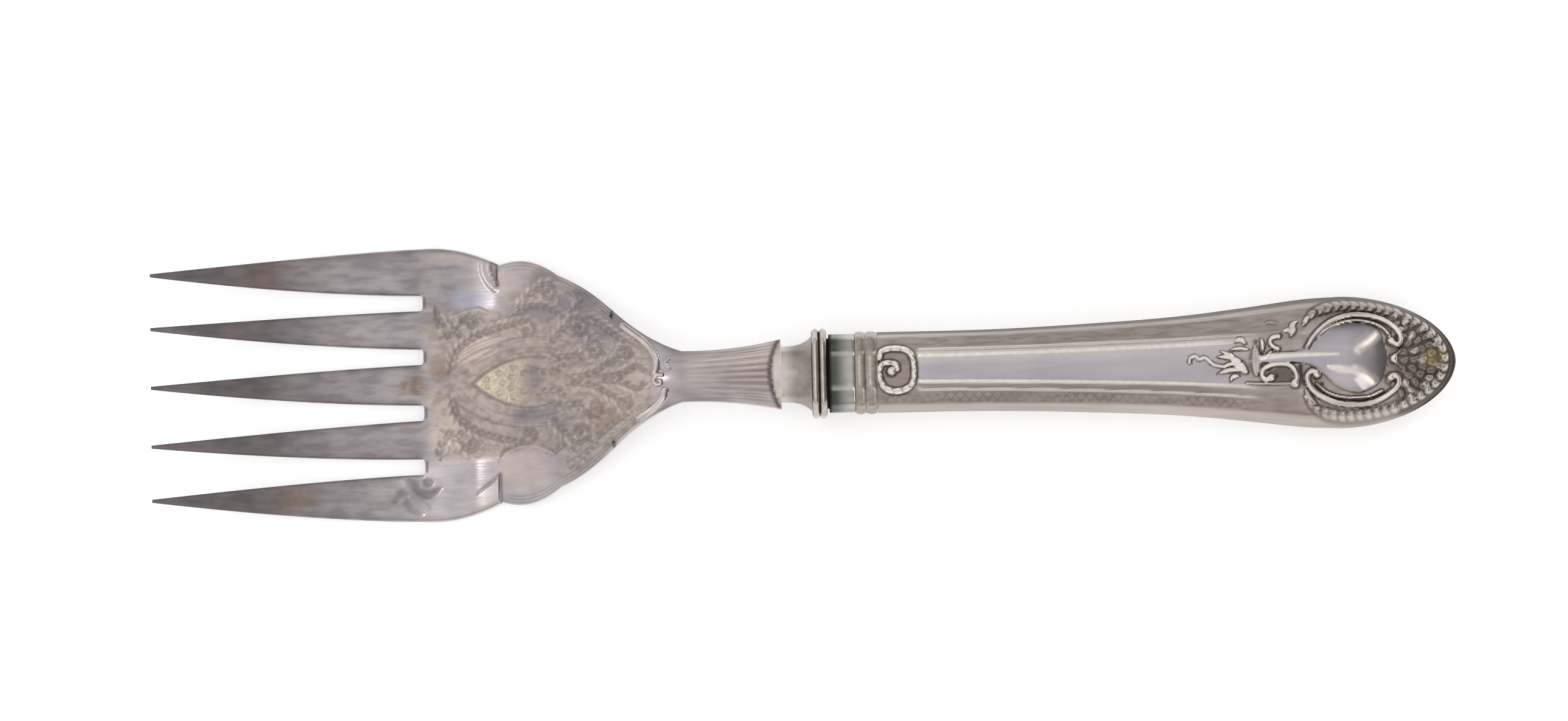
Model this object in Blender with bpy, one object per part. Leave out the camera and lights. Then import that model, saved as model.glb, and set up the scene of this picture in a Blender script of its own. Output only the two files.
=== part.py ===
"""Fish serving fork: a forged head with five tines, joined through a bolster and a tang to a
die-struck hollow handle that is filled with pitch.

Units are metres. +X runs from the tine tips to the handle's end, +Z is up, and the fork lies on
its back: the flat of the palm and the pad on the handle's back both rest on Z = 0. The origin is
under the middle of the fork's length. A "station" is a distance along X from the tine tips, and a
"loop" is a list of (y, z) points round a section.
"""

import math
from collections import namedtuple

import bmesh
import bpy

# Head in plan: five tines, then scallops that narrow to the neck, then the stem
TINE_LENGTH = 0.0506
HEAD_WIDTH = 0.0506
CENTRE_TINE_WIDTH = 0.0078
MIDDLE_TINE_WIDTH = 0.0074
SLOT_WIDTH = 0.0025
TINE_TIP_WIDTH = 0.0006
MIDDLE_TINE_SPLAY = 0.00065
OUTER_TINE_SPLAY = -0.00015
SHOULDER_LENGTH = 0.0135
SHOULDER_BULGE = 0.0012
NOTCH_WIDTH = 0.0440
LOBE_LENGTH = 0.0109
LOBE_BULGE = 0.0016
SECOND_CUSP_WIDTH = 0.0392
LOWER_LOBE_LENGTH = 0.0101
LOWER_LOBE_BULGE = 0.0007
THIRD_CUSP_WIDTH = 0.0252
SWEEP_LENGTH = 0.0126
SWEEP_BULGE = -0.0010
NECK_WIDTH = 0.0093
STEM_LENGTH = 0.0182
STEM_BULGE = -0.00055
STEM_END_WIDTH = 0.0127

# Head in side view: the tines curl up, the palm lies flat, then it bends up to the handle's axis
TIP_RISE = 0.0070
CURL_FROM_ROOT = 0.0060
PALM_FLAT_LENGTH = 0.0085
BEND_LENGTH = 0.0080
NECK_EASE_LENGTH = 0.0160
TINE_TIP_THICKNESS = 0.0010
PALM_THICKNESS = 0.0022
NECK_THICKNESS = 0.0046
STEM_END_THICKNESS = 0.0092

# Seats between pieces
SEAT_GAP = 0.0003
SOCKET_DEPTH = 0.0040
SOCKET_WALL = 0.0011
TANG_POCKET_DEPTH = 0.0038

# Bolster, and the double-ringed collar behind it
BOLSTER_LENGTH = 0.0056
BOLSTER_WAIST_WIDTH = 0.0110
BOLSTER_WAIST_THICKNESS = 0.0080
BOLSTER_FLARE_WIDTH = 0.0140
BOLSTER_FLARE_THICKNESS = 0.0106
COLLAR_LENGTH = 0.0029
COLLAR_WIDTH = 0.0161
COLLAR_THICKNESS = 0.0126
COLLAR_PANEL_WIDTH = 0.0117
COLLAR_GROOVE_DEPTH = 0.0006

# Tang, a square bar that tapers into the handle
TANG_LENGTH = 0.0680
TANG_ROOT_WIDTH = 0.0050
TANG_ROOT_THICKNESS = 0.0040
TANG_END_WIDTH = 0.0028
TANG_END_THICKNESS = 0.0024

# Ferrule with its inner sleeve, and the two bands that are threaded on the sleeve
FERRULE_LENGTH = 0.0051
FERRULE_STEP = 0.00015
FERRULE_WALL = 0.0008
SLEEVE_IN_HANDLE = 0.0060
BAND_LENGTH = 0.0019
BAND_PROUD = 0.00025
BAND_ROUNDING = 0.0005

# Handle: two struck halves, each with a flat panel and, on either edge, a bevel and a side
HANDLE_TAPER_LENGTH = 0.0855
HANDLE_END_LENGTH = 0.0212
HANDLE_MOUTH_WIDTH = 0.0149
HANDLE_BULGE_WIDTH = 0.0243
HANDLE_MOUTH_THICKNESS = 0.0112
HANDLE_BULGE_THICKNESS = 0.0138
HANDLE_WALL = 0.0006

# Ornament struck into both halves: a snail scroll by the mouth and a framed shield on the bulge
SCROLL_FROM_MOUTH = 0.0040
SCROLL_RADIUS = 0.0030
SCROLL_RIDGE_WIDTH = 0.0016
SCROLL_HEIGHT = 0.0006
SHIELD_LENGTH = 0.0140
SHIELD_WIDTH = 0.0126
SHIELD_HEIGHT = 0.0013
FRAME_GAP = 0.0004
FRAME_RIDGE_WIDTH = 0.0020
FRAME_HEIGHT = 0.0008
REST_PAD_HEIGHT = 0.0006

# Shapes of sections, as shares of their half width and half thickness
PALM_EDGE_SHARE = 0.75
STEM_EDGE_SHARE = 0.45
BOLSTER_EDGE_SHARE = 0.60
COLLAR_EDGE_SHARE = 0.55
PANEL_SHARE = 0.43
BEVEL_WIDTH_SHARE = 0.84
BEVEL_HEIGHT_SHARE = 0.62
SIDE_EDGE_SHARE = 0.04

# Shapes of curves: powers of a taper, a flare and a rounded end, and how the handle swells between
# its mouth and its bulge as (share of the length, share of the growth)
TINE_TAPER_POWER = 1.45
BOLSTER_FLARE_POWER = 2.5
HANDLE_END_POWER = 1.9
HANDLE_SWELL = ((0, 0), (0.26, 0.023), (0.53, 0.22), (0.66, 0.375), (0.79, 0.63), (0.92, 0.925), (1, 1))

# Mesh density
TINE_ROWS = 10
SCALLOP_ROWS = 4
STEM_ROWS = 6
BOLSTER_ROWS = 6
COLLAR_ROWS = 8
BAND_ROWS = 4
SIDE_COLUMNS = 2
BEVEL_COLUMNS = 4
PANEL_COLUMNS = 10
SCROLL_ROWS = 11
PLAIN_ROWS = 8
SHIELD_ROWS = 11
END_ROWS = 18
INNER_ROWS = 10
INNER_END_ROWS = 6
SMOOTH_ANGLE = math.radians(28)

# Stations where one piece ends and the next begins
NOTCH_STATION = TINE_LENGTH + SHOULDER_LENGTH
NECK_STATION = NOTCH_STATION + LOBE_LENGTH + LOWER_LOBE_LENGTH + SWEEP_LENGTH
STEM_END = NECK_STATION + STEM_LENGTH
COLLAR_START = STEM_END + BOLSTER_LENGTH
TANG_START = COLLAR_START - TANG_POCKET_DEPTH
FERRULE_START = COLLAR_START + COLLAR_LENGTH
FRONT_BAND_START = FERRULE_START + FERRULE_LENGTH
REAR_BAND_START = FRONT_BAND_START + BAND_LENGTH
HANDLE_MOUTH = REAR_BAND_START + BAND_LENGTH
HANDLE_TIP = HANDLE_MOUTH + HANDLE_TAPER_LENGTH + HANDLE_END_LENGTH
MIDDLE_OF_FORK = HANDLE_TIP / 2
AXIS_HEIGHT = HANDLE_BULGE_THICKNESS / 2 + REST_PAD_HEIGHT

# How far one surface inside the handle lies within the one around it
SLEEVE_INSET = HANDLE_WALL + SEAT_GAP
BORE_INSET = SLEEVE_INSET + FERRULE_WALL
CORE_INSET = HANDLE_WALL + SEAT_GAP

Scallop = namedtuple("Scallop", "length width next_width bulge rows")
SHOULDER = Scallop(SHOULDER_LENGTH, HEAD_WIDTH, NOTCH_WIDTH, SHOULDER_BULGE, SCALLOP_ROWS)
LOBE = Scallop(LOBE_LENGTH, NOTCH_WIDTH, SECOND_CUSP_WIDTH, LOBE_BULGE, SCALLOP_ROWS)
LOWER_LOBE = Scallop(LOWER_LOBE_LENGTH, SECOND_CUSP_WIDTH, THIRD_CUSP_WIDTH, LOWER_LOBE_BULGE, SCALLOP_ROWS)
SWEEP = Scallop(SWEEP_LENGTH, THIRD_CUSP_WIDTH, NECK_WIDTH, SWEEP_BULGE, SCALLOP_ROWS)
STEM = Scallop(STEM_LENGTH, NECK_WIDTH, STEM_END_WIDTH, STEM_BULGE, STEM_ROWS)


def mix(start, end, share):
    """Value that lies this share of the way from start to end."""
    return start + (end - start) * share


def smoothstep(t):
    """Ease from 0 to 1, level at both ends."""
    t = min(max(t, 0.0), 1.0)
    return t * t * (3 - 2 * t)


def bump(distance, width):
    """Ridge of height 1 across a width, falling to 0 at its foot."""
    return 1 - smoothstep(2 * abs(distance) / width)


def bent_ramp(x, length, ease_in, ease_out):
    """Ramp from 0 to 1 over a length, bent round at its foot and its head, straight between."""
    slope = 1 / (length - (ease_in + ease_out) / 2)
    x = min(max(x, 0.0), length)
    if x < ease_in:
        return slope * x * x / (2 * ease_in)
    if x > length - ease_out:
        return 1 - slope * (length - x) ** 2 / (2 * ease_out)
    return slope * (x - ease_in / 2)


def through_knots(knots, t):
    """Smooth curve through (t, value) knots, each with the slope between its neighbours."""
    last = len(knots) - 1
    index = max(i for i in range(last) if knots[i][0] <= t or i == 0)

    def slope(i):
        before, after = knots[max(i - 1, 0)], knots[min(i + 1, last)]
        return (after[1] - before[1]) / (after[0] - before[0])

    (t0, v0), (t1, v1) = knots[index], knots[index + 1]
    span = t1 - t0
    k = (t - t0) / span
    leave = k * (1 - k) ** 2 * slope(index) * span
    arrive = k * k * (1 - k) * slope(index + 1) * span
    return mix(v0, v1, smoothstep(k)) + leave - arrive


def divide(start, end, count):
    """Evenly spaced values from start up to end, which is left to the next stretch."""
    return [mix(start, end, i / count) for i in range(count)]


# Sections and skins


def line_offsets():
    """Offsets from the axis, at the slots' roots, of both edges and the middle of every tine."""
    half = CENTRE_TINE_WIDTH / 2
    middle_start = half + SLOT_WIDTH
    middle_end = middle_start + MIDDLE_TINE_WIDTH
    right = [(middle_start, middle_end), (middle_end + SLOT_WIDTH, HEAD_WIDTH / 2)]
    left = [(-end, -start) for start, end in reversed(right)]
    return [y for a, b in left + [(-half, half)] + right for y in (a, (a + b) / 2, b)]


LINE_SHARES = [offset / (HEAD_WIDTH / 2) for offset in line_offsets()]
LINES_PER_TINE = 3
TINE_SPLAYS = (-OUTER_TINE_SPLAY, -MIDDLE_TINE_SPLAY, 0.0, MIDDLE_TINE_SPLAY, OUTER_TINE_SPLAY)
COLLAR_SHARES = (-1, -COLLAR_PANEL_WIDTH / COLLAR_WIDTH, COLLAR_PANEL_WIDTH / COLLAR_WIDTH, 1)
COLLAR_HEIGHTS = (COLLAR_EDGE_SHARE, 1, 1, COLLAR_EDGE_SHARE)
FACET_SHARES = (-1, -BEVEL_WIDTH_SHARE, -PANEL_SHARE, PANEL_SHARE, BEVEL_WIDTH_SHARE, 1)
FACET_HEIGHTS = (SIDE_EDGE_SHARE, BEVEL_HEIGHT_SHARE, 1, 1, BEVEL_HEIGHT_SHARE, SIDE_EDGE_SHARE)


def crown(share, edge_share):
    """Height of an oval section: 1 on its middle line, edge_share at its edges."""
    return math.sqrt(1 - (1 - edge_share**2) * share**2)


def bar_loop(shares, heights, width, thickness):
    """Loop over the top of a bar, along shares of its half width, and back underneath."""
    top = [(width / 2 * s, thickness / 2 * h) for s, h in zip(shares, heights)]
    return top + [(y, -z) for y, z in reversed(top)]


def oval_loop(width, thickness, edge_share):
    """Loop of an oval bar, on the lines that run along the head."""
    return bar_loop(LINE_SHARES, [crown(s, edge_share) for s in LINE_SHARES], width, thickness)


def facet_loop(width, thickness):
    """Loop of a bar with the handle's facets."""
    return bar_loop(FACET_SHARES, FACET_HEIGHTS, width, thickness)


def tang_loop(shares, width, thickness, clearance=0.0):
    """Rectangle of the tang, or of a hole round it, with points that pair up with another loop."""
    return bar_loop(shares, [1] * len(shares), width + 2 * clearance, thickness + 2 * clearance)


def bridge(bm, first, second):
    """Quads between two closed rings with the same number of vertices."""
    for i, vertex in enumerate(first):
        j = (i + 1) % len(first)
        bm.faces.new((vertex, first[j], second[j], second[i]))


def loft(rings, closed=False):
    """Skin over (x, loop) rings: capped at both ends, or closed on itself as a tube is."""
    bm = bmesh.new()
    made = [[bm.verts.new((x, y, z)) for y, z in loop] for x, loop in rings]
    for first, second in zip(made, made[1:]):
        bridge(bm, first, second)
    if closed:
        bridge(bm, made[-1], made[0])
    else:
        bm.faces.new(made[0])
        bm.faces.new(made[-1])
    return bm


# Head


def head_thickness(station):
    """Thickness on the head's middle line."""
    thin = min(station / (TINE_LENGTH - CURL_FROM_ROOT), 1.0)
    neck = smoothstep((station - NOTCH_STATION) / (NECK_STATION - NOTCH_STATION))
    stem = smoothstep((station - NECK_STATION) / STEM_LENGTH)
    palm = mix(TINE_TIP_THICKNESS, PALM_THICKNESS, thin)
    return mix(mix(palm, NECK_THICKNESS, neck), STEM_END_THICKNESS, stem)


def head_height(station):
    """Height of the head's middle above the table: curled tines, flat palm, bend, straight stem."""
    curl_start = TINE_LENGTH - CURL_FROM_ROOT
    rise_start = TINE_LENGTH + PALM_FLAT_LENGTH
    curl = max(1 - station / curl_start, 0.0) ** 2
    rise = bent_ramp(station - rise_start, NECK_STATION - rise_start, BEND_LENGTH, NECK_EASE_LENGTH)
    resting = min(head_thickness(station), PALM_THICKNESS) / 2
    return mix(resting, AXIS_HEIGHT, rise) + TIP_RISE * curl


def head_section(station, half_width, shares, middle=0.0):
    """(y, top, bottom) across the head: crowned above, flat below until the stem rounds it."""
    round_off = smoothstep((station - NOTCH_STATION) / (NECK_STATION - NOTCH_STATION))
    top_edge = mix(PALM_EDGE_SHARE, STEM_EDGE_SHARE, round_off)
    bottom_edge = mix(1.0, STEM_EDGE_SHARE, round_off)
    half = head_thickness(station) / 2
    height = head_height(station)
    return [
        (
            middle + half_width * share,
            height + half * crown(share, top_edge),
            height - half * crown(share, bottom_edge),
        )
        for share in shares
    ]


def scallop_half_width(scallop, t):
    """Half width at a share of a scallop's length: a chord with a bulge, or with a hollow."""
    return mix(scallop.width, scallop.next_width, t) / 2 + scallop.bulge * 4 * t * (1 - t)


def head_outline():
    """(station, half width) along the palm and stem, with a cusp between scallops."""
    station = TINE_LENGTH
    for scallop in (SHOULDER, LOBE, LOWER_LOBE, SWEEP, STEM):
        for t in divide(0, 1, scallop.rows):
            yield station + scallop.length * t, scallop_half_width(scallop, t)
        station += scallop.length
    yield STEM_END, STEM_END_WIDTH / 2


def stem_loop(from_end, inset):
    """Loop of the stem's section at a distance from its end, drawn in by the inset."""
    width = 2 * scallop_half_width(STEM, 1 - from_end / STEM_LENGTH)
    thickness = head_thickness(STEM_END - from_end)
    return oval_loop(width - 2 * inset, thickness - 2 * inset, STEM_EDGE_SHARE)


def add_row(bm, station, section):
    """A top and a bottom row of vertices across the head."""
    top = [bm.verts.new((station, y, above)) for y, above, _ in section]
    bottom = [bm.verts.new((station, y, below)) for y, _, below in section]
    return top, bottom


def skin_strip(bm, rows):
    """Top, bottom and both side walls along rows of equal length."""
    for (top, bottom), (next_top, next_bottom) in zip(rows, rows[1:]):
        for j in range(len(top) - 1):
            bm.faces.new((top[j], top[j + 1], next_top[j + 1], next_top[j]))
            bm.faces.new((bottom[j], next_bottom[j], next_bottom[j + 1], bottom[j + 1]))
        for j in (0, -1):
            bm.faces.new((top[j], next_top[j], next_bottom[j], bottom[j]))


def add_tine(bm, palm_row, index):
    """One tine, from its three lines on the palm's front row out to its tip."""
    lines = slice(index * LINES_PER_TINE, (index + 1) * LINES_PER_TINE)
    left, root_middle, right = line_offsets()[lines]
    rows = [tuple(row[lines] for row in palm_row)]
    for row in range(1, TINE_ROWS + 1):
        along = row / TINE_ROWS
        half = mix((right - left) / 2, TINE_TIP_WIDTH / 2, along**TINE_TAPER_POWER)
        station = TINE_LENGTH * (1 - along)
        section = head_section(station, half, (-1, 0, 1), root_middle + TINE_SPLAYS[index] * along)
        rows.append(add_row(bm, station, section))
    skin_strip(bm, rows)
    tip_top, tip_bottom = rows[-1]
    bm.faces.new(tip_top + tip_bottom[::-1])


def build_head():
    """Tines, palm and stem in one forging, with a socket in the stem's end."""
    bm = bmesh.new()
    rows = [
        add_row(bm, station, head_section(station, half, LINE_SHARES))
        for station, half in head_outline()
    ]
    skin_strip(bm, rows)
    front_top, front_bottom = rows[0]
    for index in range(len(TINE_SPLAYS)):
        add_tine(bm, rows[0], index)
    for j in range(LINES_PER_TINE - 1, len(front_top) - 1, LINES_PER_TINE):
        bm.faces.new((front_top[j], front_top[j + 1], front_bottom[j + 1], front_bottom[j]))
    end_top, end_bottom = rows[-1]
    mouth, floor = (
        [bm.verts.new((STEM_END - depth, y, z + AXIS_HEIGHT)) for y, z in stem_loop(depth, SOCKET_WALL)]
        for depth in (0.0, SOCKET_DEPTH)
    )
    bridge(bm, end_top + end_bottom[::-1], mouth)
    bridge(bm, mouth, floor)
    bm.faces.new(floor)
    return bm


# Bolster, collar and tang


def build_bolster():
    """Spigot for the stem's socket, a waist, a flare, and a pocket for the tang behind."""
    spigot_inset = SOCKET_WALL + SEAT_GAP
    spigot_reach = SOCKET_DEPTH - SEAT_GAP
    rings = [
        (-spigot_reach, stem_loop(spigot_reach, spigot_inset)),
        (SEAT_GAP, stem_loop(0.0, spigot_inset)),
    ]
    for row in range(BOLSTER_ROWS + 1):
        along = row / BOLSTER_ROWS
        flare = along**BOLSTER_FLARE_POWER
        width = mix(BOLSTER_WAIST_WIDTH, BOLSTER_FLARE_WIDTH, flare)
        thickness = mix(BOLSTER_WAIST_THICKNESS, BOLSTER_FLARE_THICKNESS, flare)
        loop = oval_loop(width, thickness, BOLSTER_EDGE_SHARE)
        rings.append((mix(SEAT_GAP, BOLSTER_LENGTH, along), loop))
    pocket = tang_loop(LINE_SHARES, TANG_ROOT_WIDTH, TANG_ROOT_THICKNESS, SEAT_GAP)
    rings += [(BOLSTER_LENGTH, pocket), (BOLSTER_LENGTH - TANG_POCKET_DEPTH, pocket)]
    return loft(rings)


def build_collar():
    """Two round rings with a groove between, pierced for the tang."""
    rings = []
    for row in range(COLLAR_ROWS + 1):
        along = row / COLLAR_ROWS
        drop = 2 * COLLAR_GROOVE_DEPTH * (1 - abs(math.sin(2 * math.pi * along)))
        loop = bar_loop(COLLAR_SHARES, COLLAR_HEIGHTS, COLLAR_WIDTH - drop, COLLAR_THICKNESS - drop)
        rings.append((mix(SEAT_GAP, COLLAR_LENGTH, along), loop))
    hole = tang_loop(COLLAR_SHARES, TANG_ROOT_WIDTH, TANG_ROOT_THICKNESS, SEAT_GAP)
    return loft(rings + [(COLLAR_LENGTH, hole), (SEAT_GAP, hole)], closed=True)


def build_tang():
    """Bar that is straight through the collar and tapers from there into the handle."""
    root = tang_loop(FACET_SHARES, TANG_ROOT_WIDTH, TANG_ROOT_THICKNESS)
    end = tang_loop(FACET_SHARES, TANG_END_WIDTH, TANG_END_THICKNESS)
    return loft([(SEAT_GAP, root), (FERRULE_START - TANG_START, root), (TANG_LENGTH, end)])


# Ferrule and its bands


def mouth_loop(inset):
    """Loop of the handle's section at its mouth, drawn in by the inset."""
    return facet_loop(HANDLE_MOUTH_WIDTH - 2 * inset, HANDLE_MOUTH_THICKNESS - 2 * inset)


def build_ferrule():
    """Short tube in front of the handle, with a thinner sleeve that reaches into it."""
    shoulder = FERRULE_LENGTH
    end = HANDLE_MOUTH + SLEEVE_IN_HANDLE - FERRULE_START
    body, sleeve, bore = mouth_loop(FERRULE_STEP), mouth_loop(SLEEVE_INSET), mouth_loop(BORE_INSET)
    outside = [(SEAT_GAP, body), (shoulder, body), (shoulder, sleeve), (end, sleeve)]
    return loft(outside + [(end, bore), (SEAT_GAP, bore)], closed=True)


def build_band():
    """Half-round ring that slides over the sleeve and stands a little proud of the handle."""
    rings = []
    for row in range(BAND_ROWS + 1):
        along = row / BAND_ROWS
        rise = BAND_ROUNDING * math.sin(math.pi * along) - BAND_ROUNDING + BAND_PROUD
        rings.append((mix(SEAT_GAP, BAND_LENGTH, along), mouth_loop(-rise)))
    bore = mouth_loop(SLEEVE_INSET - SEAT_GAP)
    return loft(rings + [(BAND_LENGTH, bore), (SEAT_GAP, bore)], closed=True)


# Handle and its filling


def handle_half_size(x, mouth, bulge, inset):
    """Half width or half thickness at a distance from the handle's mouth, drawn in by the inset."""
    if x <= HANDLE_TAPER_LENGTH:
        return mix(mouth, bulge, through_knots(HANDLE_SWELL, x / HANDLE_TAPER_LENGTH)) / 2 - inset
    along = (x - HANDLE_TAPER_LENGTH) / (HANDLE_END_LENGTH - inset)
    return (bulge / 2 - inset) * (1 - along**HANDLE_END_POWER) ** (1 / HANDLE_END_POWER)


def handle_section(x, inset=0.0):
    """Half width and half thickness of the handle at a distance from its mouth."""
    return (
        handle_half_size(x, HANDLE_MOUTH_WIDTH, HANDLE_BULGE_WIDTH, inset),
        handle_half_size(x, HANDLE_MOUTH_THICKNESS, HANDLE_BULGE_THICKNESS, inset),
    )


def end_rows(count, inset=0.0):
    """Distances from the mouth of rows over the rounded end, closer together towards its tip."""
    reach = HANDLE_END_LENGTH - inset
    return [HANDLE_TAPER_LENGTH + reach * math.sin(angle) for angle in divide(0, math.pi / 2, count)]


def outer_rows():
    """Distances from the mouth of the outer rows: close on the ornament, wide on the plain panel."""
    scroll_end = SCROLL_FROM_MOUTH + SCROLL_RADIUS + SCROLL_RIDGE_WIDTH
    frame_start = HANDLE_TAPER_LENGTH - SHIELD_LENGTH / 2 - FRAME_GAP - FRAME_RIDGE_WIDTH
    return (
        divide(SEAT_GAP, scroll_end, SCROLL_ROWS)
        + divide(scroll_end, frame_start, PLAIN_ROWS)
        + divide(frame_start, HANDLE_TAPER_LENGTH, SHIELD_ROWS)
        + end_rows(END_ROWS)
    )


def inner_rows(inset):
    """Distances from the mouth of the rows inside the shells, and on the filling."""
    return divide(SEAT_GAP, HANDLE_TAPER_LENGTH, INNER_ROWS) + end_rows(INNER_END_ROWS, inset)


def relief(x, y):
    """Height of the struck ornament above the handle's facets."""
    from_scroll = math.hypot(x - SCROLL_FROM_MOUTH, y)
    ring = SCROLL_HEIGHT * bump(from_scroll - SCROLL_RADIUS, SCROLL_RIDGE_WIDTH)
    eye = SCROLL_HEIGHT * bump(from_scroll, SCROLL_RADIUS)
    from_shield = math.hypot((x - HANDLE_TAPER_LENGTH) / (SHIELD_LENGTH / 2), y / (SHIELD_WIDTH / 2))
    dome = SHIELD_HEIGHT * max(1 - from_shield**2, 0.0)
    frame_line = SHIELD_WIDTH / 2 * (from_shield - 1) - FRAME_GAP - FRAME_RIDGE_WIDTH / 2
    frame = FRAME_HEIGHT * bump(frame_line, FRAME_RIDGE_WIDTH)
    return max(ring, eye, dome, frame)


def facet_lines(columns):
    """(y share, z share) across a shell from seam to seam, with columns for each facet."""
    corners = list(zip(FACET_SHARES, (0, BEVEL_HEIGHT_SHARE, 1, 1, BEVEL_HEIGHT_SHARE, 0)))
    lines = []
    for (y0, z0), (y1, z1), count in zip(corners, corners[1:], columns):
        lines += list(zip(divide(y0, y1, count), divide(z0, z1, count)))
    return lines + corners[-1:]


def add_shell_skin(bm, rows, lines, tip_x, inset, height_at):
    """Sheet of one shell from its mouth to its tip. Returns its mouth row and its seam line."""
    grid = []
    for x in rows:
        half_width, half_thickness = handle_section(x, inset)
        spots = [(half_width * y, half_thickness * z) for y, z in lines]
        grid.append([bm.verts.new((x, y, height_at(x, y, z))) for y, z in spots])
    tip = bm.verts.new((tip_x, 0, height_at(tip_x, 0, 0)))
    for row, next_row in zip(grid, grid[1:]):
        for j in range(len(lines) - 1):
            bm.faces.new((row[j], row[j + 1], next_row[j + 1], next_row[j]))
    for j in range(len(lines) - 1):
        bm.faces.new((grid[-1][j], grid[-1][j + 1], tip))
    seam = [row[0] for row in grid] + [tip] + [row[-1] for row in reversed(grid)]
    return grid[0], seam


def build_shell(side):
    """Struck half of the handle: side is 1 for the front and -1 for the back, whose shield is
    flattened to the pad that the handle rests on."""
    bm = bmesh.new()
    seam_height = SEAT_GAP / 2

    def outer_height(x, y, z):
        struck = max(z, seam_height) + relief(x, y)
        return side * (struck if side > 0 else min(struck, AXIS_HEIGHT))

    def inner_height(_x, _y, z):
        return side * max(z, seam_height)

    outer_lines = facet_lines((SIDE_COLUMNS, BEVEL_COLUMNS, PANEL_COLUMNS, BEVEL_COLUMNS, SIDE_COLUMNS))
    inner_lines = facet_lines((1, 1, 1, 1, 1))
    tip = HANDLE_TAPER_LENGTH + HANDLE_END_LENGTH
    outer_mouth, outer_seam = add_shell_skin(bm, outer_rows(), outer_lines, tip, 0.0, outer_height)
    inner_mouth, inner_seam = add_shell_skin(
        bm, inner_rows(HANDLE_WALL), inner_lines, tip - HANDLE_WALL, HANDLE_WALL, inner_height
    )
    bm.faces.new(outer_mouth + inner_mouth[::-1])
    bm.faces.new(outer_seam + inner_seam[::-1])
    return bm


def build_core():
    """Pitch that fills the ferrule and the handle, with a bore for the tang."""
    mouth = HANDLE_MOUTH - FERRULE_START
    step = mouth + SLEEVE_IN_HANDLE + SEAT_GAP
    neck = mouth_loop(BORE_INSET + SEAT_GAP)
    bore_end = tang_loop(FACET_SHARES, TANG_END_WIDTH, TANG_END_THICKNESS, SEAT_GAP)
    bore_mouth = tang_loop(FACET_SHARES, TANG_ROOT_WIDTH, TANG_ROOT_THICKNESS, SEAT_GAP)
    tang_end = TANG_START + TANG_LENGTH - FERRULE_START
    rings = [(tang_end + SEAT_GAP, bore_end), (SEAT_GAP, bore_mouth), (SEAT_GAP, neck), (step, neck)]
    rows = [step - mouth] + [x for x in inner_rows(CORE_INSET) if x > step - mouth]
    for x in rows:
        half_width, half_thickness = handle_section(x, CORE_INSET)
        rings.append((mouth + x, facet_loop(2 * half_width, 2 * half_thickness)))
    return loft(rings)


# Finishes and assembly

Finish = namedtuple("Finish", "colour roughness metallic")
OLD_SILVER = Finish((0.50, 0.47, 0.44), 0.34, 1.0)
STRUCK_SILVER = Finish((0.46, 0.42, 0.37), 0.38, 1.0)
BRIGHT_SILVER = Finish((0.62, 0.61, 0.58), 0.22, 1.0)
DARK_SILVER = Finish((0.30, 0.31, 0.30), 0.26, 1.0)
TANG_STEEL = Finish((0.28, 0.27, 0.26), 0.50, 1.0)
PITCH = Finish((0.05, 0.035, 0.025), 0.65, 0.0)

Piece = namedtuple("Piece", "build station height finish")
PIECES = {
    "fork_head": Piece(build_head, 0.0, 0.0, OLD_SILVER),
    "bolster": Piece(build_bolster, STEM_END, AXIS_HEIGHT, BRIGHT_SILVER),
    "bolster_collar": Piece(build_collar, COLLAR_START, AXIS_HEIGHT, BRIGHT_SILVER),
    "tang": Piece(build_tang, TANG_START, AXIS_HEIGHT, TANG_STEEL),
    "ferrule": Piece(build_ferrule, FERRULE_START, AXIS_HEIGHT, DARK_SILVER),
    "ferrule_band_front": Piece(build_band, FRONT_BAND_START, AXIS_HEIGHT, STRUCK_SILVER),
    "ferrule_band_rear": Piece(build_band, REAR_BAND_START, AXIS_HEIGHT, STRUCK_SILVER),
    "handle_front_shell": Piece(lambda: build_shell(1), HANDLE_MOUTH, AXIS_HEIGHT, STRUCK_SILVER),
    "handle_back_shell": Piece(lambda: build_shell(-1), HANDLE_MOUTH, AXIS_HEIGHT, STRUCK_SILVER),
    "pitch_core": Piece(build_core, FERRULE_START, AXIS_HEIGHT, PITCH),
}


def new_material(name, finish):
    """Principled material with one colour, roughness and metallic value."""
    material = bpy.data.materials.new(name)
    material.use_nodes = True
    shader = material.node_tree.nodes["Principled BSDF"]
    shader.inputs["Base Color"].default_value = (*finish.colour, 1.0)
    shader.inputs["Roughness"].default_value = finish.roughness
    shader.inputs["Metallic"].default_value = finish.metallic
    return material


def add_piece(name, piece, parent):
    """Named object for one piece, at its own datum, with its own material."""
    bm = piece.build()
    bmesh.ops.recalc_face_normals(bm, faces=bm.faces)
    mesh = bpy.data.meshes.new(name)
    bm.to_mesh(mesh)
    bm.free()
    mesh.shade_smooth()
    mesh.set_sharp_from_angle(angle=SMOOTH_ANGLE)
    mesh.materials.append(new_material(name + "_finish", piece.finish))
    made = bpy.data.objects.new(name, mesh)
    bpy.context.collection.objects.link(made)
    made.parent = parent
    made.location = (piece.station - MIDDLE_OF_FORK, 0, piece.height)


def main():
    """Clear the scene and assemble the fork under one empty at its origin."""
    for existing in list(bpy.data.objects):
        bpy.data.objects.remove(existing)
    fork = bpy.data.objects.new("fish_serving_fork", None)
    bpy.context.collection.objects.link(fork)
    for name, piece in PIECES.items():
        add_piece(name, piece, fork)


main()
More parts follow.
